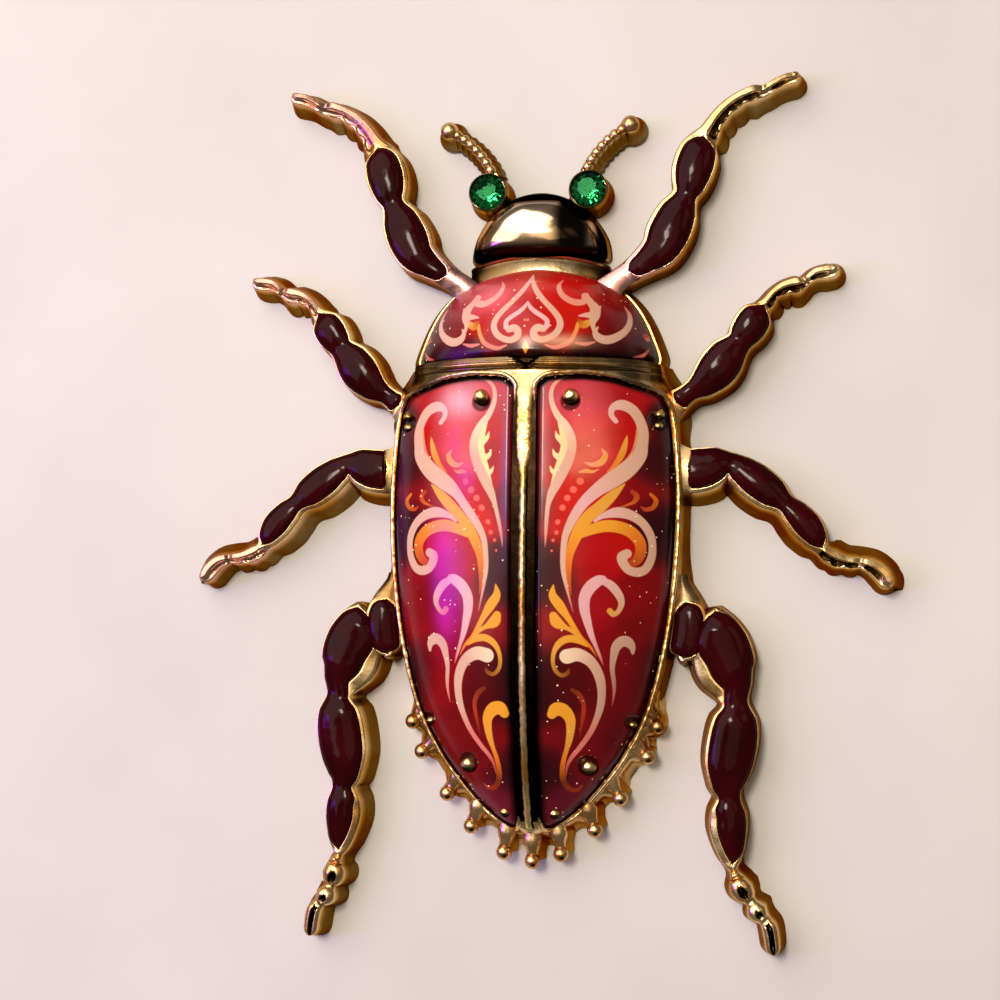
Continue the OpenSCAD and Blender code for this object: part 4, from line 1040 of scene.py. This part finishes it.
def collar():
    """Curved band round the neck with a thin raised line at its front."""
    a = np.linspace(-1, 1, 121)
    u = np.sin(a * pi / 2)
    high = dome(HEAD_EDGE, COLLAR_HEIGHT, HEAD_POWER, u)
    bow = 0.85 * u**2
    profile = [(-0.75, -0.9), (-0.75, -0.1), (-0.35, -0.05), (0.2, -0.2), (0.45, -0.24),
        (0.56, -0.1), (0.66, -0.04), (0.76, -0.1), (0.84, -0.35), (0.84, -0.9)]
    rings = [np.stack([5.72 * u, SHIELD_FRONT + 0.35 + back - bow, np.maximum(high + up, 0)], 1)
        for back, up in profile]
    # Painted shade across the band, row by row
    shade = np.tile([0.3, 0.6, 0.7, 0.8, 0.6, 0, 0, 0.3, 0.8, 0.9], len(u))
    return Shape().loft(np.stack(rings, 1), turn=True).foot("collar"), shade


cast(make, "head", *head(), GOLD_MIRROR)
cast(make, "collar", *collar())


def disc(centre, radius, z, around=64):
    """Level ring of points."""
    a = np.linspace(0, 2 * pi, around, endpoint=False)
    return np.stack([centre[0] + radius * np.cos(a), centre[1] + radius * np.sin(a),
        np.full(around, z)], 1)


def eye_cup():
    """Turned cup for a stone, its neck to the head, and painted shade on its lip."""
    lip = EYE_SIZE / 2 + 0.12
    inner = EYE_SIZE / 2 + 0.02
    seat = EYE_HEIGHT - STONE_DEPTH - CLEARANCE
    turn = [(lip + DRAFT / 2, 0), (lip + 0.12, 1.2), (lip + 0.03, EYE_HEIGHT - 0.4),
        (lip, EYE_HEIGHT - 0.12), (lip - 0.03, EYE_HEIGHT - 0.04),
        (inner + 0.02, EYE_HEIGHT - 0.02), (inner, EYE_HEIGHT - 0.1), (inner, seat),
        (0.6 * inner, seat), (0.05, seat)]
    form = Shape().loft(np.stack([disc(EYE_AT, r, z) for r, z in turn])).foot("eye_cup")
    ends = np.array([EYE_AT, [0.4 * HEAD_HALF, HEAD_START + 0.6 * HEAD_LENGTH]])
    s = np.linspace(0, 1, 15)[:, None]
    line = ends[0] + (ends[1] - ends[0]) * s
    side = np.array([-(ends[1] - ends[0])[1], (ends[1] - ends[0])[0]])
    side /= np.linalg.norm(side)
    a = np.linspace(0, pi, 15)
    width = 0.95 - 0.15 * np.sin(pi * s)
    rings = [section(at, side, np.cos(a) * (wide + DRAFT * (1 - np.sin(a))),
        2.05 * np.sin(a) ** 0.7) for at, wide in zip(line, width)]
    form.loft(np.array(rings), turn=True).foot("eye_neck")
    # Painted shade on the top of the cup
    return form, 0.75 * ease(form.all_points()[:, 2], 2.6, 2.95)


def antenna_at(s):
    """Points on an antenna at shares s of its length."""
    a = radians(ANTENNA_ANGLE)
    root = EYE_AT + np.array([-0.04, 0.68]) * EYE_SIZE
    s = np.asarray(s, float)[..., None]
    return (root + s * ANTENNA_LENGTH * np.array([cos(a), sin(a)])
        + 4 * ANTENNA_BOW * s * (1 - s) * np.array([-sin(a), cos(a)]))


def antenna():
    """Wall with a row of beads on it and a ball at its end."""
    form = Shape()
    lift = LEG_HEIGHT - ANTENNA_BALL / 2
    s = np.linspace(-0.12, 1.0, 40)
    line = antenna_at(s)
    ahead = np.gradient(line, axis=0)
    side = np.stack([-ahead[:, 1], ahead[:, 0]], 1) / np.linalg.norm(ahead, axis=1)[:, None]
    beads = ANTENNA_BEADS / (1 - 0.5 * ANTENNA_BALL / ANTENNA_LENGTH)
    width = 0.3 + 0.06 * np.cos(2 * pi * s * (beads - 1))
    width = width + 0.25 * ease(s, 0.9, 1)
    k = np.linspace(0, 1, 7)
    height = lift * np.concatenate([k, k[::-1]])
    rings = []
    for at, across, wide in zip(line, side, width):
        half = wide + DRAFT * (1 - k) ** 1.3
        rings.append(section(at, across, np.concatenate([half, -half[::-1]]), height))
    form.loft(np.array(rings), turn=True).foot("antenna")
    for s in np.linspace(0, 1 - 0.5 * ANTENNA_BALL / ANTENNA_LENGTH, ANTENNA_BEADS):
        form.ball([*antenna_at(s), lift], ANTENNA_BEAD / 2 * 1.04)
    form.ball([*antenna_at(1), lift], ANTENNA_BALL / 2)
    foot = [(ANTENNA_BALL * 0.45 + DRAFT, 0), (ANTENNA_BALL * 0.45 + 0.2, 0.8),
        (ANTENNA_BALL * 0.47, lift)]
    form.loft(np.stack([disc(antenna_at(1), r, z, 32) for r, z in foot]))
    return form.foot("antenna_foot")


cast(both, "eye_cup", *eye_cup(), sharp=45)
both("antenna", antenna(), GOLD, "gold", ["casting"], sharp=50)


def eye_stone():
    """Round brilliant: table, star, kite and girdle facets above, mains below."""
    r = EYE_SIZE / 2
    z = EYE_HEIGHT
    turn = lambda count, radius, height, shift: [[EYE_AT[0] + radius * cos(a),
        EYE_AT[1] + radius * sin(a), height] for a in
        (2 * pi * (k + shift) / count for k in range(count))]
    table = turn(8, 0.56 * r, z + STONE_CROWN, 0.5)
    kite = turn(8, 0.78 * r, z + 0.62 * STONE_CROWN, 0)
    girdle = turn(16, r, z + 0.12, 0)
    under = turn(16, r, z, 0)
    culet = turn(8, 0.25 * r, z - STONE_DEPTH, 0.5)
    points = table + kite + girdle + under + culet
    T, K, G, U, C = 0, 8, 16, 32, 48  # where each ring of points starts
    faces = [list(range(8))]
    for k in range(8):
        after = (k + 1) % 8
        before = (k - 1) % 8
        faces += [
            [T + before, K + k, T + k],
            [K + k, G + 2 * k, G + 2 * k + 1], [K + k, G + (2 * k - 1) % 16, G + 2 * k],
            [K + k, G + 2 * k + 1, T + k], [K + after, T + k, G + 2 * k + 1],
            [U + 2 * k, C + k, U + 2 * k + 1], [U + 2 * k + 1, C + k, U + (2 * k + 2) % 16],
            [U + 2 * k, C + before, C + k]]
    faces += [[G + k, U + k, U + (k + 1) % 16, G + (k + 1) % 16] for k in range(16)]
    faces.append([C + k for k in range(7, -1, -1)])
    return Shape().add(points, faces)


both("cut_stone", eye_stone(), STONE, "green_stone", ["eye_stone_{}"], sharp=1)


# Legs
def along(leg, t):
    """Centre line, direction to the left and half width at shares t of a leg."""
    a = radians(leg["angle"])
    def centre(s):
        aside = column(leg["rows"], 1, s) * leg["length"]
        return (np.array(leg["base"]) + s[:, None] * leg["length"] * np.array([cos(a), sin(a)])
            + aside[:, None] * np.array([-sin(a), cos(a)]))
    d = centre(t + 0.01) - centre(t - 0.01)
    side = np.stack([-d[:, 1], d[:, 0]], 1) / np.linalg.norm(d, axis=1)[:, None]
    return centre(t), side, column(leg["rows"], 2, t) * leg["width"] / 2


def pool_sides(leg, t):
    """Width of a leg's pool to the left and right of the centre line."""
    start, end, soft, blunt = leg["pool"]
    half = along(leg, t)[2]
    bend = np.clip(np.minimum((t - start) / soft, (end - t) / blunt), 0, 1)
    round_ = np.sqrt(1 - (1 - bend) ** 2)
    extra = 0 * t
    if leg["width"] == REAR_WIDTH:
        # Broad rim on the inner side of the thigh and of the last lobe
        extra = 0.95 * ease(t, 0.08, 0.17) * (1 - ease(t, 0.22, 0.27)) + 0.38 * ease(t, 0.56, 0.61)
    return [np.maximum(half - rim, 0.06) * round_ for rim in
        (leg["rims"][0], leg["rims"][1] + extra)]


# Across a foot's outer half, from its edge to its crest: share of the way, depth under the crest
FOOT_BASE = [0, 0.1, 0.22, 0.45, 0.7, 1], [0.4, 0.26, 0.24, 0.22, 0.1, 0]


def foot_marks(leg, t, share, shrink):
    """Along a leg: level of its crest, scallops of its foot's outer edge, depth of its pits."""
    crest = LEG_HEIGHT + 0.04 - 0.16 * (1 - shrink)
    if leg["width"] == REAR_WIDTH:
        beads, gaps = (sum(hill(t, at, wide) for at, wide in places) for places in
            (((0.803, 0.018), (0.871, 0.013)),
            ((0.748, 0.006), (0.77, 0.004), (0.841, 0.008), (0.899, 0.007))))
        return crest + 0.12 * beads - 0.32 * gaps, 0 * t, 0 * t
    notch, pits = leg["notch"]
    if not pits:
        return crest, 0 * t, 0 * t
    scallop = abs(np.sin(pi * pits * np.clip(share / notch, 0, 1))) ** 0.7
    scallop = scallop * ease(share, 0.0, 0.05)
    claw = ease(share, notch + 0.04, notch + 0.13) * (1 - ease(share, 0.86, 1.0))
    toes = ease(share, 0.02, 0.07) * (1 - ease(share, notch - 0.05, notch))
    pit = leg["well"] * ((0.3 + 0.2 * scallop) * toes + 0.42 * claw)
    return crest - 0.24 * hill(share, notch, 0.035), scallop, pit


def rear_foot(t, c, top_x, half):
    """Depth under the crest and painted shade: two prongs with a gap between them, dented beads.
    """
    drop = 0.85 * half[:, None] * (1 - np.sqrt(1 - 0.92 * (1 - c) ** 2))
    gap = ease(t, 0.903, 0.915)[:, None] * ease(c, 0.6, 0.8)[None]
    dent = sum(np.clip(1 - ((t[:, None] - at) / long) ** 2 - (top_x / across) ** 2, 0, 1)
        for at, long, across in ((0.812, 0.018, 0.36), (0.879, 0.01, 0.3)))
    return drop + 0.6 * gap + 0.3 * np.sqrt(dent), np.maximum(gap, dent > 0.02)


def outer_foot(leg, share, c, scallop, pit):
    """Depth under the crest and painted shade on the side of a foot that has the pits."""
    low = (0.42 - 0.34 * scallop - 0.2 * (share > leg["notch"][0]))[:, None]
    well = ease((c[None] - low) / 0.14, 0, 1) * (1 - ease(c, 0.7, 0.84))
    drop = np.interp(c, *FOOT_BASE)[None] + pit[:, None] * well
    return drop, leg["well"] * np.clip(pit / 0.25, 0, 1)[:, None] * well


def leg_body(leg, count):
    """Cast leg: leaning walls, rims beside the enamel, a crested foot; and its painted shade."""
    rear, hip = leg["width"] == REAR_WIDTH, leg is HIP
    plain = rear or hip
    root = 0.9 if hip else 0.3
    first, last = leg["rows"][0][0], leg["rows"][-1][0]
    start, end = leg["pool"][:2]
    # Steps along the leg, and round its tip
    end_turn = np.linspace(0, pi / 2 - 0.08, 10)[1:]
    tip_half = along(leg, np.array([last]))[2][0]
    t = np.concatenate([np.linspace(first, last, count),
        last + tip_half / leg["length"] * np.sin(end_turn)])
    shrink = np.concatenate([np.ones(count), np.cos(end_turn)])
    forward = np.concatenate([np.zeros(count), np.sin(end_turn)])
    centre, side, half = along(leg, t)
    ahead = np.stack([side[:, 1], -side[:, 0]], 1)
    half = half * shrink
    foot = ease(t, end - 0.012, end + 0.02)
    neck = 1 - ease(t, start - 0.01, start + 0.012)
    share = (t - end) / (last - end)
    crest, scallop, pit = foot_marks(leg, t, share, shrink)
    c = np.linspace(0, 1, 17)
    k = np.linspace(0, 1, 9)[:-1]
    halves = []
    for sign, rim, lean_pool, lean_foot, q in zip((1, -1), leg["rims"], leg["lean"][:2],
            leg["lean"][2:], pool_sides(leg, t)):
        q = np.maximum(q, 0.04)
        tip = 0.16 * half * sign * (not plain)
        flute = scallop * (sign < 0)
        wide = half * (1 + 0.1 * flute)
        # Rim beside the enamel
        rim_x = wide[:, None] - (wide - q)[:, None] * c
        broad = np.clip((half - q - rim - 0.05) / 0.5, 0, 1)[:, None] * (1 - foot[:, None])
        rim_z = (LEG_HEIGHT + 0.03 - 0.14 * (rim < 0.15) - 0.3 * rim * (1 - c)
            - 0.12 * np.clip(1 - c / 0.25, 0, 1) ** 2
            - 0.1 * np.clip(1 - (1 - c) / 0.2, 0, 1) ** 2)
        rim_z = rim_z[None] - 0.15 * broad * (1 - c) ** 1.3 + 0 * rim_x
        # Top of the foot
        top_x = wide[:, None] - (wide - tip)[:, None] * c
        if rear:
            drop, dark = rear_foot(t, c, top_x, half)
        elif sign > 0 or hip:
            drop = 0.14 * (1 - c) + 0.24 * np.clip(1 - c / 0.3, 0, 1) ** 2 + 0 * top_x
            dark = 0 * top_x
        else:
            drop, dark = outer_foot(leg, share, c, scallop, pit)
        top_z = crest[:, None] - drop
        # Flat root, which sinks towards the body
        flat_z = LEG_HEIGHT - 0.25 * (1 - c) ** 2 - (root * np.clip((start - t) / (start - first),
            0, 1))[:, None]
        solid = np.maximum(foot, neck)[:, None]
        x = rim_x + (top_x - rim_x) * solid
        z = rim_z + (top_z - rim_z) * foot[:, None]
        z = z + (flat_z - z) * neck[:, None]
        # Wall
        lean = lean_pool + (lean_foot - lean_pool) * foot
        out = (1 - k) ** 1.2 * lean[:, None] + 0.02 * np.sin(pi * k)
        out = out + 0.2 * flute[:, None] * foot[:, None] * (1 - k)
        wall_x = x[:, :1] + out * shrink[:, None]
        wall_z = (z[:, :1] - 0.02) * k
        # Bed under the enamel, closed to a seam at the root and the foot
        open_ = ((1 - foot) * (1 - neck) * ease(q, 0.05, 0.3))[:, None]
        pool_x = q[:, None] * np.array([0.97, 0.9, 0.45])
        seam = np.array([0.02, 0.04, 0.05]) * half[:, None] * (1 if sign > 0 or plain else -1)
        pool_x = pool_x + (x[:, -1:] - seam - pool_x) * solid
        pool_z = z[:, -1:] - open_ * np.array([0.25, 0.5, 0.52])
        push = np.concatenate([out * forward[:, None], 0 * x, 0 * pool_x], 1)
        # Painted shade: in the foot's pits, gaps and dents, on the root, and on the bed under the
        # enamel
        dark = np.maximum(dark * foot[:, None], leg.get("shade", 0) * neck[:, None])
        halves.append((sign * np.concatenate([wall_x, x, pool_x], 1),
            np.concatenate([wall_z, z, pool_z], 1), push,
            np.concatenate([0 * wall_x, dark, open_ + 0 * pool_x], 1)))
    x, z, push, dark = (np.concatenate([a, b[:, ::-1]], 1) for a, b in zip(*halves))
    plan = centre[:, None] + x[:, :, None] * side[:, None] + push[:, :, None] * ahead[:, None]
    return np.concatenate([plan, z[:, :, None]], -1), dark.ravel()


def leg_enamel(leg, count, form):
    """Adds the leg's enamel, which swells over its rims, to the form."""
    start, end = leg["pool"][:2]
    ends = CLEARANCE / leg["length"]
    t = eased(start + ends, end - ends, count)
    centre, side, _ = along(leg, t)
    left, right = (np.maximum(q - 0.012, 0.04) for q in pool_sides(leg, t))
    a = np.linspace(0, pi, 25)
    u = np.cos(a)
    mid, half = (left - right) / 2, (left + right) / 2
    rise = 0.5 * np.clip(half, 0, 1.6) ** 0.9
    x = mid[:, None] + half[:, None] * u
    edges = [LEG_HEIGHT - 0.06 - 0.18 * (rim < 0.15) for rim in leg["rims"]]
    edge = edges[1] + (edges[0] - edges[1]) * (u + 1) / 2
    z = edge + rise[:, None] * np.sin(a) ** 0.85
    low = LEG_HEIGHT - 0.55
    x = np.concatenate([x, x[:, -1:] * 0.97, x[:, :1] * 0.97], 1)
    z = np.concatenate([z, np.full((len(t), 2), low)], 1)
    xy = centre[:, None] + x[:, :, None] * side[:, None]
    return form.loft(np.concatenate([xy, z[:, :, None]], -1), turn=True)


def one_side(leg, way):
    """The right (way 1) or left (way -1) leg: the rear feet bend a little to one side, and the
    grooves of the left feet are shallower, with lighter painted shade."""
    rows = leg["rows"]
    if leg["width"] == REAR_WIDTH:
        rows = [[t, aside + way * 0.016 * float(ease(t, 0.76, 0.88)), wide]
            for t, aside, wide in rows]
    return dict(leg, rows=rows, well=0.66 + 0.26 * way)


for name in LEGS:
    for side, way in (("right", 1), ("left", -1)):
        leg = one_side(LEGS[name], way)
        rings, dark = leg_body(leg, LEG_STEPS)
        form = Shape().loft(rings, turn=True)
        fill = leg_enamel(leg, POOL_STEPS, Shape())
        if name == "rear":
            rings, more = leg_body(HIP, HIP_STEPS)
            form.loft(rings, turn=True).foot("hip")
            dark = np.concatenate([dark, more])
            leg_enamel(HIP, HIP_POOL_STEPS, fill)
        # Rosy reflections at the front legs' roots and on the left feet
        points = form.all_points()
        reach = np.linalg.norm(points[:, :2] - leg["base"], axis=1) / leg["length"]
        rose = 0.75 * (1 - ease(reach, 0.1, 0.32)) * (name == "front")
        rose = rose + 0.45 * ease(reach, 0.6, 0.7) * (side == "left" and name != "rear")
        rose *= ease(points[:, 2], 1.9, 2.6)
        if side == "left":
            form, fill = form.mirrored(), fill.mirrored()
        cast(make, f"leg_{name}_{side}", form, dark, sharp=55, rose=rose)
        make(f"leg_enamel_{name}_{side}", fill, ENAMEL, "enamel", [f"enamel_{name}_{side}"],
            sharp=60)


# Tail
def tail():
    """Skirt behind the back with eleven balls on short posts, and painted dark reflections on the
    balls.
    """
    form = Shape()
    t = np.linspace(0.66, 1, 200)
    points = np.stack([pan_half(t), -t * WING_LENGTH], 1)
    out = points - TAIL_FOCUS
    out /= np.linalg.norm(out, axis=1)[:, None]
    share = ease(t, 0.66, 0.75)[:, None]
    balls = [[x * WING_HALF, -y * WING_LENGTH] for x, y in TAIL_ROWS]
    balls = np.array(balls + [[0, -1.063 * WING_LENGTH]])
    def ring(reach, z, dip):
        at = points + reach * share * out
        gap = np.min(np.linalg.norm(at[:, None] - balls[None], axis=2), axis=1)
        at = at - dip * ease(gap, 0.5, 1.5)[:, None] * share * out
        both_ = np.concatenate([at, at[::-1] * [-1, 1]])
        return np.concatenate([both_, np.full((len(both_), 1), z)], 1)
    bend = np.linspace(0, pi / 2, 9)
    profile = [(TAIL_SKIRT + DRAFT, 0, 0.45), (TAIL_SKIRT + 0.25, 0.5, 0.6)]
    profile += [(1.15 * cos(a), 1.0 + 1.3 * sin(a), 0.7 * cos(a)) for a in bend] + [(-0.5, 2.3, 0)]
    rings = np.array([ring(*row) for row in profile])
    flat = rings[1:-2].reshape(-1, 3)
    flat += 0.045 * ripple(flat, 1.1, 41)[:, None] * np.array([1, 1, 0.6])
    flat = flat.reshape(-1, *rings.shape[1:])
    form.loft(np.concatenate([rings[:1], flat, rings[-2:]])).foot("tail")
    spots = np.zeros(form.count)
    sides = [balls[:-1] * [-1, 1], balls]
    for number, at in enumerate(np.concatenate(sides)):
        direction = (at - TAIL_FOCUS) / np.linalg.norm(at - TAIL_FOCUS)
        side = np.array([-direction[1], direction[0]])
        a = np.linspace(-0.15, pi + 0.15, 21)
        rows = []
        for v in np.linspace(-1.9 * TAIL_BALL, 0.05, 20):
            wide = 0.42 + 0.36 * ease(-v, 0.45, 1.7)
            foot = wide + DRAFT * 0.7
            x = np.concatenate([np.cos(a) * wide, [-foot, foot]])
            z = np.concatenate([TAIL_HEIGHT - 0.12 + np.sin(a) * wide * 0.9, [0, 0]])
            rows.append(section(at + direction * v, side, x, z))
        form.loft(np.array(rows), turn=True).foot("post", 0.01 * (number % 3))
        spots = np.concatenate([spots, np.zeros(form.count - len(spots))])
        form.ball([*at, TAIL_HEIGHT], TAIL_BALL / 2 * 1.04, rings=24, around=36)
        # A painted dark reflection on each ball
        low = np.array([*at, TAIL_HEIGHT]) + TAIL_BALL / 2 * np.array([0.2, -0.42, 0.86])
        far = np.linalg.norm(form.points[-1] - low, axis=1)
        spots = np.concatenate([spots, 0.9 * (1 - ease(far, 0.14, 0.26))])
    return form, spots


cast(make, "tail", *tail(), GOLD_WARM)


def grains():
    """Gold grains that stand through the wing case, and painted shade on their sides towards the
    tail.
    """
    form = Shape()
    for x, y, radius, up in GRAINS:
        z = pan_skin(x, y) + up - 0.3
        form.ball([x, y, z], radius, rings=18, around=28)
        form.loft(np.stack([disc((x, y), radius * r, h, 20) for r, h in
            ((1.0, z - 0.7), (0.95, z - 0.2), (0.8, z))]))
    points = form.all_points()
    shift = 0.03 * ripple(points, 0.7, 31)
    form.points = [points + shift[:, None] * np.array([0.5, 0.5, 1])]
    # Painted shade on each grain's side towards the tail
    dark = 0
    for x, y, radius, _ in GRAINS:
        near = np.hypot(points[:, 0] - x, points[:, 1] - y) < 1.2 * radius
        dark = np.maximum(dark, near * ease((y - points[:, 1]) / radius, -0.05, 0.5))
    return form, 0.95 * dark


cast(both, "gold_grains", *grains(), GOLD_ROUGH, 60)

# The pin keeps the solid's own mesh
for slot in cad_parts["pin_back"].material_slots:
    slot.material = STEEL

# Floor, camera and lights
bpy.ops.mesh.primitive_plane_add(size=4, location=(0, 0, 0))
floor = bpy.context.object
floor.name = "floor"
n = Nodes("floor_paper")
tone = n.mix(n.patches(40, 0, 1), linear("#c9c6c0"), linear("#d3d0ca"))
floor.data.materials.append(n.finish(Base_Color=tone, Roughness=0.85))

# Camera fitted to matched points of the photo: focal length in pixels, turn in radians, shift
# in the beetle's millimetres, and the frame's origin in them at the fit
FOCAL, TURN, ORIGIN = 1700.0, (-0.06, -0.175, -0.0003), (0, 6.073, 0)
SHIFT = (3.208, -6.4716, -138.3324)
SENSOR, PHOTO_WIDTH = 36, 1000
turned = (Matrix.Rotation(TURN[2], 3, "Z") @ Matrix.Rotation(TURN[1], 3, "Y")
    @ Matrix.Rotation(TURN[0], 3, "X"))
spot = -(turned.transposed() @ Vector(SHIFT)) - Vector(ORIGIN)
camera_data = bpy.data.cameras.new("camera")
camera_data.sensor_width = SENSOR
camera_data.lens = SENSOR * FOCAL / PHOTO_WIDTH
camera_data.clip_start = 0.005
camera = bpy.data.objects.new("camera", camera_data)
camera.matrix_world = Matrix.Translation(spot * 0.001) @ turned.transposed().to_4x4()
bpy.context.scene.collection.objects.link(camera)
bpy.context.scene.camera = camera


def area_light(name, azimuth, elevation, distance, size, power, tone):
    """Light that faces the brooch: degrees round from the head's side, and up."""
    data = bpy.data.lights.new(name, "AREA")
    data.shape, data.size, data.size_y = "RECTANGLE", size[0], size[1]
    data.energy, data.color = power, linear(tone)
    light = bpy.data.objects.new(name, data)
    a, e = radians(azimuth), radians(elevation)
    at = Vector((cos(e) * sin(a), cos(e) * cos(a), sin(e))) * distance
    light.location = at
    light.rotation_euler = at.to_track_quat("Z", "Y").to_euler()
    bpy.context.scene.collection.objects.link(light)


area_light("window", -50, 50, 0.36, (0.46, 0.34), 1.2, "#fff8f6")
area_light("violet_side", -96, 36, 0.34, (0.05, 0.14), 0.36, "#8a40f0")
area_light("ceiling", 60, 84, 0.5, (0.28, 0.28), 0.22, "#ffe9c8")
area_light("lamp", -30, 76, 0.4, (0.06, 0.09), 0.95, "#fff2e0")
area_light("right_glow", 62, 52, 0.4, (0.12, 0.14), 0.07, "#ffd0a0")

world = bpy.data.worlds.new("studio")
world.use_nodes = True
world.node_tree.nodes["Background"].inputs[0].default_value = (*linear("#a39c92"), 1)
world.node_tree.nodes["Background"].inputs[1].default_value = 0.35
bpy.context.scene.world = world
bpy.context.scene.view_settings.view_transform = "Standard"
